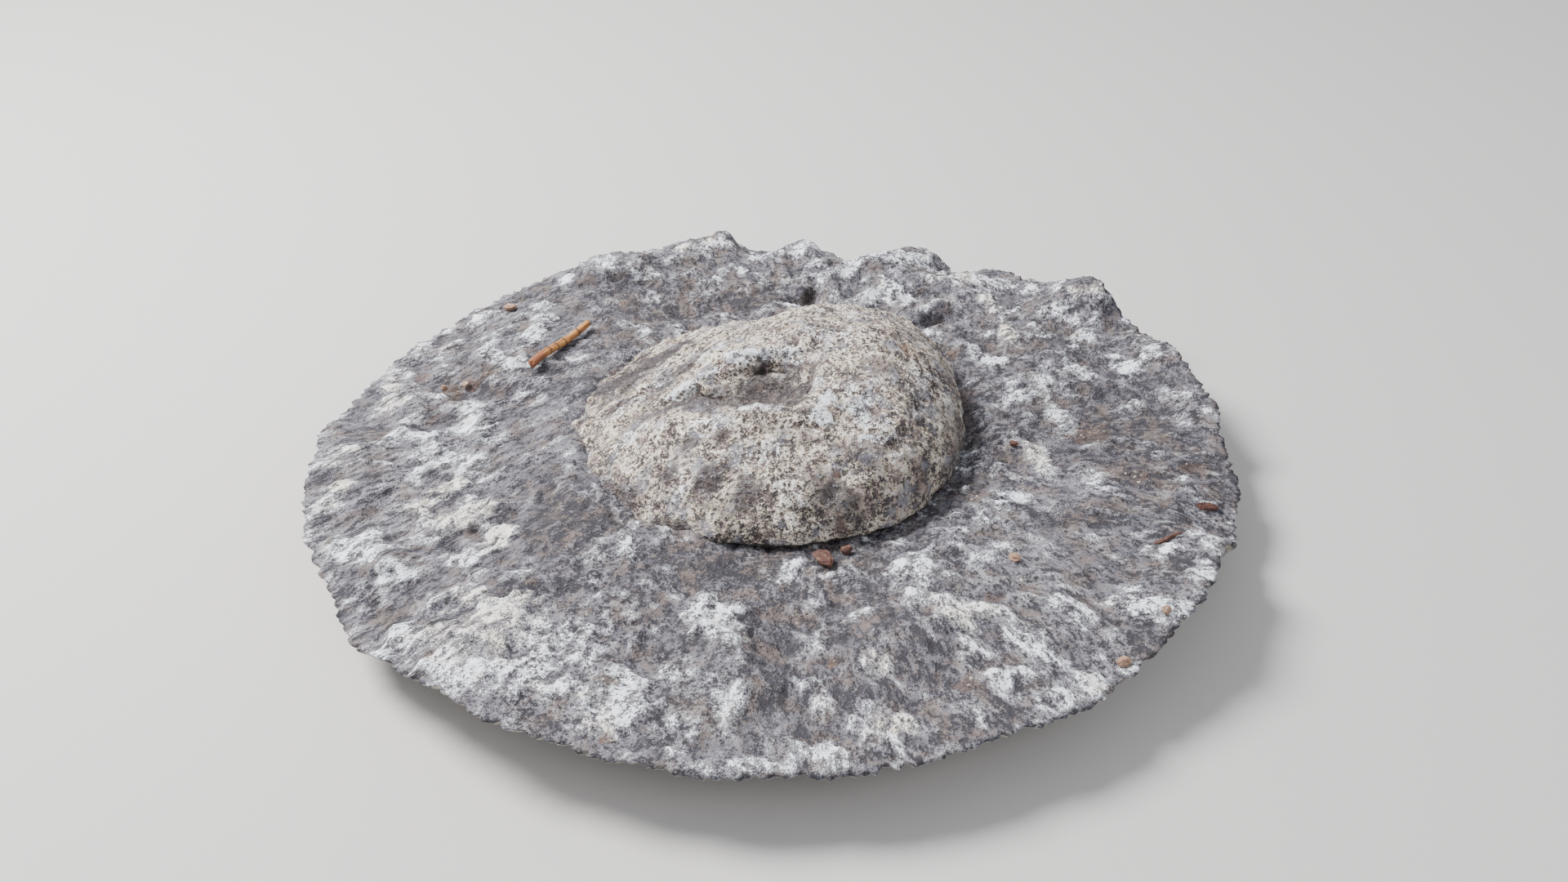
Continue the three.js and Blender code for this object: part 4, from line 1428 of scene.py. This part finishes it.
@dataclass(frozen=True)
class WeatheredLimestone:
    """Grey limestone with white and cream lichen crusts, brown soil and a broken side."""

    dark: Colour = srgb(58, 57, 62)
    grey: Colour = srgb(113, 112, 120)
    warm: Colour = srgb(116, 103, 96)
    white: Colour = srgb(240, 245, 253)
    cream: Colour = srgb(234, 225, 208)
    dusty: Colour = srgb(162, 160, 167)
    speck: Colour = srgb(82, 76, 74)
    hole_shade: Colour = srgb(52, 45, 43)
    soil: Colour = srgb(98, 80, 70)
    rust: Colour = srgb(128, 86, 64)
    fresh: Colour = srgb(186, 180, 170)
    fresh_dark: Colour = srgb(142, 136, 130)
    sawn: Colour = srgb(172, 168, 160)

    def build(self) -> Material:
        """Build the material."""
        p = Palette("weathered_limestone")
        place = p.place()
        slant = p.turned(place, Streaks.SLANT, 3.4)
        fan = p.mark_vector("fan")
        fanned, slanted = p.mark("fanned"), p.mark("slanted")

        def combed(length: float, detail: float, roughness: float) -> Wire:
            """Return noise that runs the way the weather has combed each part of the rock."""
            plain = p.noise(place, length, detail, roughness)
            left = p.noise(slant, 0.85 * length, detail, roughness)
            right = p.noise(fan, 0.85 * length, detail, roughness)
            return p.blend_number(p.blend_number(plain, left, slanted), right, fanned)

        # the dust of fine light and dark that breaks up every edge between two colours
        streak, fine = combed(2.8, 4, 0.64), combed(1.3, 3, 0.7)
        grain = p.noise(place, 0.55, 2, 0.7)
        dust = 1.9 * (streak - 0.5) + 1.7 * (fine - 0.5) + 1.3 * (grain - 0.5)
        crust = p.mark("crust")
        clump = combed(5.5, 3, 0.6)
        grown = crust + (dust + 1.6 * (clump - 0.5)) * (0.3 + 0.9 * crust)
        thin = grown.step(0.24, 0.6)
        thick = grown.step(0.42, 0.8)

        # bare stone, from dark to grey, with warm stains
        tone = p.noise(place, 7, 4, 0.62)
        depth = tone + 0.9 * dust - 0.26 * p.mark("bare")
        stone = p.blend(self.dark, self.grey, depth.step(0.2, 0.74))
        warmth = p.noise(place, 9, 4, 0.66) + 0.3 * dust
        stone = p.blend(stone, self.warm, 0.65 * warmth.step(0.47, 0.66))

        # white and cream crusts over it, thin at their edges
        creamy = 0.9 * p.mark("cream") + 0.5 * p.noise(place, 9, 2).step(0.5, 0.75)
        pale = p.blend(self.white, self.cream, creamy)
        pale = p.blend(pale, self.dusty, 0.85 * (0.5 - 1.3 * dust).step(0.36, 0.84))
        colour = p.blend(p.blend(stone, self.dusty, 0.7 * thin), pale, thick)

        # dark specks, soil, and painted shade in deep holes and pits
        specks = (p.dots(place, 1.9) + 0.6 * (fine - 0.5)).step(0.36, 0.1)
        specks = specks * p.noise(place, 5, 2).step(0.4, 0.58)
        colour = p.blend(colour, self.speck, 0.75 * specks)
        earth = (p.mark("soil") + 0.8 * dust).step(0.34, 0.9)
        colour = p.blend(colour, p.blend(self.soil, self.rust, tone.step(0.5, 0.7)), 0.66 * earth)
        colour = p.blend(colour, self.hole_shade, 0.8 * p.mark("shade").step(0.2, 0.9))

        # the broken side, and the base with its saw marks
        broken = p.mark("broken").step(0.3, 0.8)
        face = p.blend(self.fresh_dark, self.fresh, (tone + 0.6 * (fine - 0.5)).step(0.3, 0.7))
        colour = p.blend(colour, face, broken)
        saw = p.add(
            "ShaderNodeTexWave",
            {"wave_type": "BANDS", "bands_direction": "X"},
            {"Vector": place, "Scale": 260.0, "Distortion": 1.2, "Detail": 2.0},
            "Fac",
        )
        colour = p.blend(colour, p.blend(self.sawn, self.fresh, saw * 0.5), p.mark("sawn"))

        height = 0.9 * fine + 0.4 * grain + 0.5 * thick + 0.6 * streak - 0.4 * specks
        roughness = 0.97 - 0.1 * tone - 0.05 * thin
        return p.finish(colour, roughness, height, 1.1, 0.25)


@dataclass(frozen=True)
class PittedShell:
    """The shell's weathered calcite: cream, freckled with dark pits and grey and white patches."""

    dark: Colour = srgb(74, 68, 70)
    drab: Colour = srgb(134, 127, 125)
    tan: Colour = srgb(174, 158, 139)
    cream: Colour = srgb(204, 189, 165)
    pale: Colour = srgb(234, 227, 213)
    pink: Colour = srgb(164, 144, 136)
    blue: Colour = srgb(152, 155, 166)
    grey: Colour = srgb(90, 84, 87)
    gloom: Colour = srgb(52, 47, 50)
    freckle: Colour = srgb(84, 74, 70)
    white: Colour = srgb(240, 245, 252)
    soil: Colour = srgb(112, 84, 68)
    hole_shade: Colour = srgb(50, 42, 40)

    def build(self) -> Material:
        """Build the material."""
        p = Palette("pitted_shell")
        place = p.place()

        # calcite toned by patches; painted light where the relief stands up, shade where it lies
        # low
        fine = p.noise(place, 1.3, 3, 0.7)
        grain = p.noise(place, 0.55, 2, 0.7)
        combed = p.noise(p.turned(place, 42, 3.0), 2.8, 4, 0.66)
        tone = p.blend_number(p.noise(place, 3.4, 4, 0.66), combed, p.mark("combed"))
        patch = p.noise(place, 10, 4, 0.64)
        dust = 3.0 * (tone - 0.5) + 2.6 * (fine - 0.5) + 3.0 * (grain - 0.5)
        lively = dust * (1.55 - 0.4 * p.mark("dull"))
        # the lift mark paints light on the knobs and crests and shade between them
        tone_and_painted_light = 0.4 + 2.4 * (patch - 0.5) + lively + 0.35 * p.mark("lift") - 0.12 * p.mark("dull")
        colour = p.ramp(tone_and_painted_light, (
            (0.0, self.dark),
            (0.2, self.drab),
            (0.42, self.tan),
            (0.64, self.cream),
            (0.95, self.pale),
        ))

        # tints of pink and blue, then the grey and the white places
        colour = p.blend(colour, self.pink, 0.36 * p.noise(place, 6, 3, 0.6).step(0.5, 0.64))
        colour = p.blend(colour, self.blue, 0.5 * (1 - p.noise(place, 7.5, 3, 0.6)).step(0.5, 0.64))
        greys = (0.9 * p.mark("grey") + 0.45 * dust).step(0.26, 0.74)
        grey = p.blend(self.gloom, self.grey, (0.5 + 0.6 * dust).step(0.0, 0.9))
        colour = p.blend(colour, grey, 0.93 * greys)
        whites = (0.85 * p.mark("white") + 0.7 * dust).step(0.42, 0.78)
        colour = p.blend(colour, self.white, 0.85 * whites)

        # freckles, pits, soil, and painted shade in the deep gashes and under the widest ring
        small = (p.dots(place, 1.8) + 0.5 * (fine - 0.5)).step(0.4, 0.18)
        large = (p.dots(place, 3.7) + 0.6 * (fine - 0.5)).step(0.3, 0.14)
        freckles = (small | large) * p.noise(place, 5, 2).step(0.36, 0.54)
        pits = (p.mark("pits") + 0.6 * (fine - 0.5)).step(0.3, 1.0)
        colour = p.blend(colour, self.freckle, 0.85 * (pits | freckles))
        earth = (p.mark("soil") + 0.4 * dust).step(0.35, 0.9)
        colour = p.blend(colour, self.soil, 0.6 * earth)
        # painted shade in the deep gashes
        colour = p.blend(colour, self.hole_shade, 0.9 * (p.mark("cut") + 0.2 * dust).step(0.3, 0.8))
        # painted shade on the flank under the widest ring and on the buried sole
        colour = p.blend(colour, self.dark, 0.75 * p.mark("skirt"))

        height = 1.1 * fine + 0.5 * grain + 1.0 * tone - 0.5 * freckles
        return p.finish(colour, 0.95 - 0.12 * patch, height, 1.1, 0.28)


@dataclass(frozen=True)
class DryWood:
    """A peeled twig: tan wood with long grain, darker and redder towards the near end."""

    tan: Colour = srgb(184, 132, 76)
    brown: Colour = srgb(126, 78, 44)
    red: Colour = srgb(128, 76, 54)
    dark: Colour = srgb(70, 44, 32)

    def build(self) -> Material:
        """Build the material."""
        p = Palette("dry_wood")
        grain = p.mark_vector("grain")
        fibres = p.noise(grain, 1.0, 4, 0.6)
        patch = p.noise(grain, 3.0, 3)
        colour = p.blend(self.brown, self.tan, (fibres + 0.8 * (patch - 0.5)).step(0.34, 0.6))
        colour = p.blend(colour, self.red, 0.85 * p.mark("near").step(0.2, 0.9))
        knots = (p.mark("knot") + 0.6 * (fibres - 0.5)).step(0.35, 0.8)
        colour = p.blend(colour, self.dark, 0.9 * knots)
        return p.finish(colour, 0.62 + 0.2 * fibres, fibres, 0.22, 0.35)


@dataclass(frozen=True)
class DryScrap:
    """A scrap of bark, husk or leaf: one warm colour broken by darker fibres and pale wear."""

    name: str
    base: Colour
    dark: Colour
    pale: Colour
    fibre: float = 1.0

    def build(self) -> Material:
        """Build the material."""
        p = Palette(self.name)
        grain = p.mark_vector("grain")
        fibres = p.noise(grain, self.fibre, 4, 0.65)
        patch = p.noise(p.place(), 1.8, 3)
        colour = p.blend(self.base, self.dark, fibres.step(0.5, 0.68))
        colour = p.blend(colour, self.pale, (patch + 0.3 * (fibres - 0.5)).step(0.54, 0.7) * 0.8)
        return p.finish(colour, 0.8 - 0.15 * patch, fibres, 0.18, 0.3)


@dataclass(frozen=True)
class Grit:
    """Loose sand and soil grains, each its own shade of grey, tan or brown."""

    name: str
    light: Colour
    dark: Colour

    def build(self) -> Material:
        """Build the material."""
        p = Palette(self.name)
        place = p.place()
        colour = p.blend(self.dark, self.light, p.noise(place, 2.2, 2, 0.7).step(0.34, 0.66))
        return p.finish(colour, 0.92 - 0.1 * p.noise(place, 1.0), None, 0.0, 0.25)


@dataclass(frozen=True)
class StudioFloor:
    """The plain pale floor."""

    pale: Colour = (0.5, 0.49, 0.48)

    def build(self) -> Material:
        """Build the material."""
        p = Palette("studio_floor")
        cloud = p.noise(p.place(), 400, 2)
        return p.finish(self.pale, 0.82 + 0.06 * cloud, None, 0.0, 0.2)


BARK = DryScrap("bark", srgb(82, 54, 46), srgb(48, 34, 30), srgb(124, 94, 82))
HUSK = DryScrap("husk", srgb(146, 116, 98), srgb(92, 68, 56), srgb(188, 164, 144))
SAND = Grit("sand", srgb(176, 166, 156), srgb(98, 86, 78))


# -----------------------------------------------------------------------------
# Litter and grit
# -----------------------------------------------------------------------------


class Ground:
    """The finished rock and shell surface, for laying loose bits on."""

    HIGH = 1.0  # a height above everything, in metres

    def __init__(self, *pieces: Object) -> None:
        """Gather the pieces' faces."""
        points: list[Vector] = []
        faces: list[tuple[int, ...]] = []
        for piece in pieces:
            start = len(points)
            points += [vertex.co.copy() for vertex in piece.data.vertices]
            faces += [tuple(start + i for i in face.vertices) for face in piece.data.polygons]
        self.tree = BVHTree.FromPolygons(points, faces)

    def height(self, x: float, y: float) -> float:
        """Return the ground's height at a place, in millimetres."""
        above = Vector((x * MM, y * MM, self.HIGH))
        hit = self.tree.ray_cast(above, Vector((0, 0, -1)))[0]
        return hit.z / MM if hit else 0.0

    def lay(self, points: Points, sink: float) -> Points:
        """Return a piece's points dropped straight down, until they have sunk in a little."""
        gaps = np.array([z - self.height(x, y) for x, y, z in points])
        return points - np.array([0.0, 0.0, gaps.min() + sink])


def long_axes(points: Points) -> tuple[Points, Points]:
    """Return a piece's middle, and its own directions from the longest to the shortest."""
    middle = points.mean(axis=0)
    return middle, np.linalg.svd(points - middle, full_matrices=False)[2]


@dataclass
class Twig:
    """The twig: a slightly bent, knotted stick with broken ends.

    Attributes:
        sides: Points round it.
        step: The distance between its rings.
        bend: How far it bends to the side.
        wave: How far it bends up and down.
        taper: How much thinner its far end is, as a share.
        knots: Where its knots are, from the near end (0) to the far end (1).
        knot: How far a knot stands out, as a share of the radius.
        settled: How far it sinks into the ground's roughness.
    """

    sides: int = 28
    step: float = 0.32
    bend: float = 0.5
    wave: float = 0.3
    taper: float = 0.16
    knots: tuple[float, ...] = (0.3, 0.42, 0.55, 0.78)
    knot: float = 0.13
    settled: float = 0.12
    noise: Noise = field(default_factory=lambda: Noise(41))

    NEAR_SHARE = 0.94  # the near end's radius, as a share of the model's
    KNOT_LENGTH = 0.022  # half a knot's length, as a share of the twig's
    STAIN_LENGTH = 0.03  # half the length of the stain round it
    COLUMN = 2.2  # the radius of the column that the bark's pattern is read on
    LONG_GRAIN = 0.16  # how far along that column a millimetre of the twig is

    def knotted(self, share: Values, length: float) -> Values:
        """Return how near a place along the twig is to a knot: 1 at one, and 0 past its length."""
        return sum(np.exp(-np.square((share - at) / length)) for at in self.knots)

    def rings(self) -> tuple[list[Points], list[Points], list[float]]:
        """Weave the twig's rings, from one broken end to the other.

        Returns:
            The rings, where each one's points are in the bark's pattern, and how far along the
            twig each one is, from 0 to 1.
        """
        solid = node_points("twig")
        middle, (axis, across, _) = long_axes(solid)
        axis = axis if axis[1] > 0 else -axis
        up = np.cross(axis, across)
        along = (solid - middle) @ axis
        near, far = along.min(), along.max()
        radius = np.abs((solid - middle) @ across).max()
        count = int((far - near) / self.step)
        turn = 2 * np.pi * np.arange(self.sides) / self.sides
        spokes = np.column_stack([np.cos(turn), np.sin(turn)])
        rings, grains, shares = [], [], []
        for place in np.linspace(near, far, count):
            share = (place - near) / (far - near)
            bend = self.bend * math.sin(5.0 * share + 0.6)
            rise = up * self.wave * math.sin(8 * share)
            centre = middle + axis * place + across * bend + rise
            knot = 1 + self.knot * self.knotted(share, self.KNOT_LENGTH)
            reach = radius * (self.NEAR_SHARE - self.taper * share) * knot
            along_it = np.full(self.sides, self.LONG_GRAIN * place)
            column = np.column_stack([self.COLUMN * spokes, along_it])
            bark = 0.13 * self.noise.layered(column, 1.3, 3)
            bark -= 0.1 * self.noise.ridged(column, 0.9, 2)
            worn = reach * (1.03 + bark)
            ring = centre + worn[:, None] * (spokes[:, :1] * across + spokes[:, 1:] * up)
            rings.append(ring)
            grains.append(column)
            shares.append(share)
        near_end = self._broken_end(rings[0], -axis)
        far_end = self._broken_end(rings[-1], axis)
        rings = [*reversed(near_end), *rings, *far_end]
        grains = [grains[0], grains[0], *grains, grains[-1], grains[-1]]
        shares = [0.0, 0.0, *shares, 1.0, 1.0]
        return rings, grains, shares

    def build(self, ground: Ground, material: Material) -> Object:
        """Make the twig's piece and lay it on the ground."""
        rings, grains, shares = self.rings()
        skin = Skin(rings)
        share = np.concatenate([[0.0], np.repeat(shares, self.sides), [1.0]])
        marks = {
            "grain": np.concatenate([grains[0][:1], *grains, grains[-1][:1]]) * MM,
            "near": smooth(0.42, 0.05, share),
            "knot": 0.7 * self.knotted(share, self.STAIN_LENGTH) + smooth(0.985, 1.0, share),
        }
        points = ground.lay(skin.points(), self.settled)
        faces = skin.faces()
        if np.einsum("ij,ij->", normals_of(points, faces), points - points.mean(axis=0)) < 0:
            faces = faces[:, ::-1]
        return make_piece("peeled_twig", points, faces, material, **marks)

    def _broken_end(self, ring: Points, outward: Points) -> tuple[Points, Points]:
        """Return two smaller rings that close an end with a splintered face."""
        centre = ring.mean(axis=0)
        torn = 0.5 * self.noise.plain(ring * 3.1, 1.4)[:, None]
        return (
            mix(ring, centre, 0.16) + outward * (0.18 + torn),
            mix(ring, centre, 0.62) + outward * (0.25 + 0.8 * torn),
        )


@dataclass
class Scrap:
    """A loose bit that stands for a model node: the same bit with a torn, fibrous surface.

    Attributes:
        node: The node.
        cuts: How often its faces are divided.
        torn: How deep its roughness is, as a share of its thickness.
        layers: How strongly it splits into layers along its length, from 0 to 1.
        settled: How far it sinks into the ground's roughness.
    """

    node: str
    cuts: int = 3
    torn: float = 0.2
    layers: float = 0.4
    settled: float = 0.1
    noise: Noise = field(default_factory=lambda: Noise(53))

    SQUEEZE = np.array([0.3, 1.0, 1.6])  # of the pattern: long along the bit, fine through it
    WELD = 0.01  # points nearer than this are one

    def build(self, ground: Ground, material: Material) -> Object:
        """Make the bit's piece and lay it on the ground."""
        rough = add_object(self.node + "_rough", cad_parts[self.node].data.copy())
        weld = rough.modifiers.new("weld", "WELD")
        weld.merge_threshold = self.WELD * MM
        smoother = rough.modifiers.new("smoother", "SUBSURF")
        smoother.levels = smoother.render_levels = self.cuts
        fine = plain_mesh(rough)
        points = mesh_points(fine)
        fine.calc_loop_triangles()
        faces = np.array([tuple(face.vertices) for face in fine.loop_triangles])
        bpy.data.meshes.remove(fine)
        middle, axes = long_axes(points)
        local = (points - middle) @ axes.T
        squeezed = local * self.SQUEEZE
        thick = np.ptp(local[:, 2])
        depth = self.torn * thick * self.noise.layered(squeezed + middle, 0.7 * thick, 3)
        sheet = np.sign(np.sin(9 * local[:, 2] / thick + squeezed[:, 0]))
        steps = self.layers * 0.22 * thick * sheet
        points = points + normals_of(points, faces) * (depth + 0.4 * steps)[:, None]
        points = ground.lay(points, self.settled)
        return make_piece(self.node + "_torn", points, faces, material, grain=squeezed * MM)


# The rock's marks, which its grains don't need.
ROCK_MARKS = (
    "crust", "cream", "bare", "soil", "shade", "broken", "sawn", "fan", "fanned", "slanted",
)


@dataclass
class Scatter:
    """Small loose grains strewn over part of the rock by a Geometry Nodes tree.

    Attributes:
        name: The piece's name.
        mark: The mark on the ground that says where grains lie.
        spacing: The least distance between two grains.
        density: Grains to a square centimetre where the mark is full.
        smallest: The smallest grain's radius.
        largest: The largest grain's radius.
        flat: A grain's height, as a share of its length.
        seed: Fixes every draw.
    """

    name: str
    mark: str
    spacing: float
    density: float
    smallest: float
    largest: float
    flat: float
    seed: int

    def _tree(self, material: Material) -> NodeTree:
        """Build the tree, with named inputs for the grains' sizes."""
        tree = bpy.data.node_groups.new(self.name, "GeometryNodeTree")
        face = tree.interface
        face.new_socket("Ground", in_out="INPUT", socket_type="NodeSocketGeometry")
        for name in ("Spacing", "Density", "Smallest", "Largest", "Flatness"):
            face.new_socket(name, in_out="INPUT", socket_type="NodeSocketFloat")
        face.new_socket("Seed", in_out="INPUT", socket_type="NodeSocketInt")
        face.new_socket("Grains", in_out="OUTPUT", socket_type="NodeSocketGeometry")
        given = tree.nodes.new("NodeGroupInput")
        nodes = Nodes(tree)
        inputs = {socket.name: Wire(nodes, socket) for socket in given.outputs if socket.name}
        add = nodes.add

        # where the grains lie
        named = add(
            "GeometryNodeInputNamedAttribute", {"data_type": "FLOAT"}, {"Name": self.mark}
        )
        spread = {
            "Mesh": inputs["Ground"],
            "Distance Min": inputs["Spacing"],
            "Density Max": inputs["Density"],
            "Density Factor": named.step(0.35, 0.85),
            "Seed": inputs["Seed"],
        }
        points = add(
            "GeometryNodeDistributePointsOnFaces", {"distribute_method": "POISSON"}, spread
        )

        # one grain: a ball pushed out of shape
        ball = add("GeometryNodeMeshIcoSphere", {}, {"Radius": 1.0, "Subdivisions": 2})
        lumpy = {"Scale": 1.3, "Detail": 1.0}
        uneven = add("ShaderNodeTexNoise", {"noise_dimensions": "3D"}, lumpy, "Color")
        halves = {0: uneven, 1: (0.5, 0.5, 0.5)}
        centred = add("ShaderNodeVectorMath", {"operation": "SUBTRACT"}, halves)
        pushed = add("ShaderNodeVectorMath", {"operation": "SCALE"}, {0: centred, "Scale": 1.1})
        grain = add("GeometryNodeSetPosition", {}, {"Geometry": ball, "Offset": pushed})

        # how each one is turned, and its size
        leaning = {
            "Min": (-0.5, -0.5, 0.0),
            "Max": (0.5, 0.5, 2 * math.pi),
            "Seed": inputs["Seed"],
        }
        turn = add("FunctionNodeRandomValue", {"data_type": "FLOAT_VECTOR"}, leaning)
        sizes = {2: inputs["Smallest"], 3: inputs["Largest"], "Seed": inputs["Seed"]}
        size = add("FunctionNodeRandomValue", {"data_type": "FLOAT"}, sizes, 1)
        tall = size * inputs["Flatness"]
        shape = add("ShaderNodeCombineXYZ", {}, {"X": size, "Y": size * 0.8, "Z": tall})
        laid = {"Points": points, "Instance": grain, "Rotation": turn, "Scale": shape}
        strewn = add("GeometryNodeInstanceOnPoints", {}, laid)
        real = add("GeometryNodeRealizeInstances", {}, {"Geometry": strewn})
        dressed = add("GeometryNodeSetMaterial", {}, {"Geometry": real, "Material": material})
        out = tree.nodes.new("NodeGroupOutput")
        tree.links.new(dressed.socket, out.inputs["Grains"])
        return tree

    def build(self, rock: Object, material: Material) -> Object:
        """Strew the grains and return them as one plain mesh piece."""
        holder = add_object(self.name + "_ground", rock.data.copy())
        strewing = holder.modifiers.new("strewing", "NODES")
        strewing.node_group = self._tree(material)
        sizes = {
            "Spacing": self.spacing * MM,
            "Density": self.density / (10 * MM) ** 2,
            "Smallest": self.smallest * MM,
            "Largest": self.largest * MM,
            "Flatness": self.flat,
            "Seed": self.seed,
        }
        for item in strewing.node_group.interface.items_tree:
            if item.in_out == "INPUT" and item.name in sizes:
                strewing[item.identifier] = sizes[item.name]
        mesh = plain_mesh(holder)
        mesh.name = self.name
        for mark in ROCK_MARKS:
            if mark in mesh.attributes:
                mesh.attributes.remove(mesh.attributes[mark])
        return add_object(self.name, mesh)


# -----------------------------------------------------------------------------
# The studio
# -----------------------------------------------------------------------------


@dataclass(frozen=True)
class Lamp:
    """An area light.

    Attributes:
        name: Its name.
        around: The direction it stands in, in degrees round from the right.
        above: Its elevation in degrees.
        away: Its distance, in metres.
        size: Its width, in metres.
        power: Its power, in watts.
        colour: Its colour.
    """

    name: str
    around: float
    above: float
    away: float
    size: float
    power: float
    colour: Colour

    def build(self) -> None:
        """Hang the light, turned to the rock."""
        data = bpy.data.lights.new(self.name, "AREA")
        data.shape = "DISK"
        data.size = self.size
        data.energy = self.power
        data.color = self.colour
        lamp = add_object(self.name, data)
        turn, lift = math.radians(self.around), math.radians(self.above)
        at = self.away * Vector(
            (math.cos(turn) * math.cos(lift), math.sin(turn) * math.cos(lift), math.sin(lift))
        )
        lamp.location = at
        lamp.rotation_euler = (-at).to_track_quat("-Z", "Y").to_euler()


@dataclass(frozen=True)
class Studio:
    """The camera, the lights and the floor.

    Attributes:
        elevation: The camera's angle above the bed, in degrees.
        distance: How far it stands from the rock's centre, in millimetres.
        pan: How far it then turns to the right, in degrees.
        tilt: How far it then turns up.
        roll: How far it then turns round its own line of sight.
        lens: Its focal length.
        sensor: Its sensor's width.
        floor: The floor's half size, in metres.
        sky: The strength of the light from all round.
        sky_colour: The colour of that light.
        lamps: The lamps.
    """

    elevation: float = 34.85
    distance: float = 548.4
    pan: float = -0.27
    tilt: float = 0.15
    roll: float = 1.52
    lens: float = 37.78
    sensor: float = 36.0
    floor: float = 6.0
    sky: float = 0.78
    sky_colour: Colour = (0.93, 0.95, 1.0)
    lamps: tuple[Lamp, ...] = (
        Lamp("key", 160, 52, 1.1, 0.5, 36.0, (1.0, 0.985, 0.965)),
        Lamp("fill", -60, 36, 1.8, 1.4, 8.0, (0.95, 0.97, 1.0)),
    )

    def camera(self, centre: Points) -> None:
        """Set up the camera, aimed over the rock's centre."""
        lift = math.radians(self.elevation)
        back = Vector((0.0, -math.cos(lift), math.sin(lift)))
        forward, right = -back, Vector((1.0, 0.0, 0.0))
        up = right.cross(forward)
        panned = Matrix.Rotation(math.radians(self.pan), 3, up)
        forward, right = panned @ forward, panned @ right
        tilted = Matrix.Rotation(math.radians(self.tilt), 3, right)
        forward, up = tilted @ forward, tilted @ up
        rolled = Matrix.Rotation(math.radians(self.roll), 3, forward)
        right, up = rolled @ right, rolled @ up
        data = bpy.data.cameras.new("studio_camera")
        data.sensor_width = self.sensor
        data.lens = self.lens
        data.clip_start = 0.01
        camera = add_object("studio_camera", data)
        turn = Matrix((right, up, -forward)).transposed()
        spot = back * self.distance * MM + Vector(centre) * MM
        camera.matrix_world = Matrix.Translation(spot) @ turn.to_4x4()
        bpy.context.scene.camera = camera

    def light(self) -> None:
        """Hang the lamps and set the light from all round."""
        for lamp in self.lamps:
            lamp.build()
        world = bpy.data.worlds.new("studio_sky")
        world.use_nodes = True
        background = world.node_tree.nodes["Background"]
        background.inputs["Color"].default_value = (*self.sky_colour, 1.0)
        background.inputs["Strength"].default_value = self.sky
        bpy.context.scene.world = world

    def lay_floor(self) -> None:
        """Lay the floor that the rock rests on."""
        size = self.floor
        corners = [(-size, -size, 0), (size, -size, 0), (size, size, 0), (-size, size, 0)]
        mesh = bpy.data.meshes.new("studio_floor")
        mesh.from_pydata(corners, [], [(0, 1, 2, 3)])
        mesh.materials.append(StudioFloor().build())
        floor = add_object("studio_floor", mesh)


# -----------------------------------------------------------------------------
# The whole
# -----------------------------------------------------------------------------

SCRAPS = (
    (BARK, Scrap("bark_chip", torn=0.26, layers=0.7)),
    (BARK, Scrap("bark_crumb", torn=0.26)),
    (BARK, Scrap("leaf_scrap", torn=0.3)),
    (BARK, Scrap("dry_needle", layers=0.1)),
    (HUSK, Scrap("seed_husk", torn=0.22)),
    (HUSK, Scrap("husk_grain_left")),
    (HUSK, Scrap("husk_grain_far")),
    (BARK, Scrap("resin_crumb")),
    (HUSK, Scrap("stone_crumb", layers=0.1)),
    (HUSK, Scrap("rim_crumb", layers=0.1)),
    (HUSK, Scrap("lip_crumb", layers=0.1)),
)
GROOVE_GRIT = Scatter(
    "groove_grit", "soil", spacing=0.8, density=12, smallest=0.2, largest=0.7, flat=0.7, seed=3
)


def place_piece(piece: Object, slot: str, *nodes: str) -> None:
    """Give a piece to the model's body.

    Args:
        piece: The piece.
        slot: A material slot's name; not used.
        *nodes: The model's nodes that it stands for.
    """
    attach(piece, "root")
    if nodes:
        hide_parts(*nodes)
    LOG.info("%s: %d triangles", piece.name, sum(len(f.vertices) - 2 for f in piece.data.polygons))


def main() -> None:
    """Build every piece and the studio round them."""
    logging.basicConfig(level=logging.INFO, format="%(message)s")
    points = node_points("shell")
    middle = points[points[:, 2].argmin(), :2]
    rock = Rock(middle).build(WeatheredLimestone().build())
    place_piece(rock, "limestone", "matrix")
    shell = Fossil(middle).build(PittedShell().build())
    place_piece(shell, "shell", "shell")
    ground = Ground(rock, shell)
    place_piece(Twig().build(ground, DryWood().build()), "twig", "twig")
    materials = {finish.name: finish.build() for finish in (BARK, HUSK)}
    for finish, scrap in SCRAPS:
        place_piece(scrap.build(ground, materials[finish.name]), finish.name, scrap.node)
    place_piece(GROOVE_GRIT.build(rock, SAND.build()), "limestone")
    studio = Studio()
    studio.camera(np.array([*(middle - SHELL_MIDDLE), BED]))
    studio.light()
    studio.lay_floor()


if __name__ == "__main__":
    main()
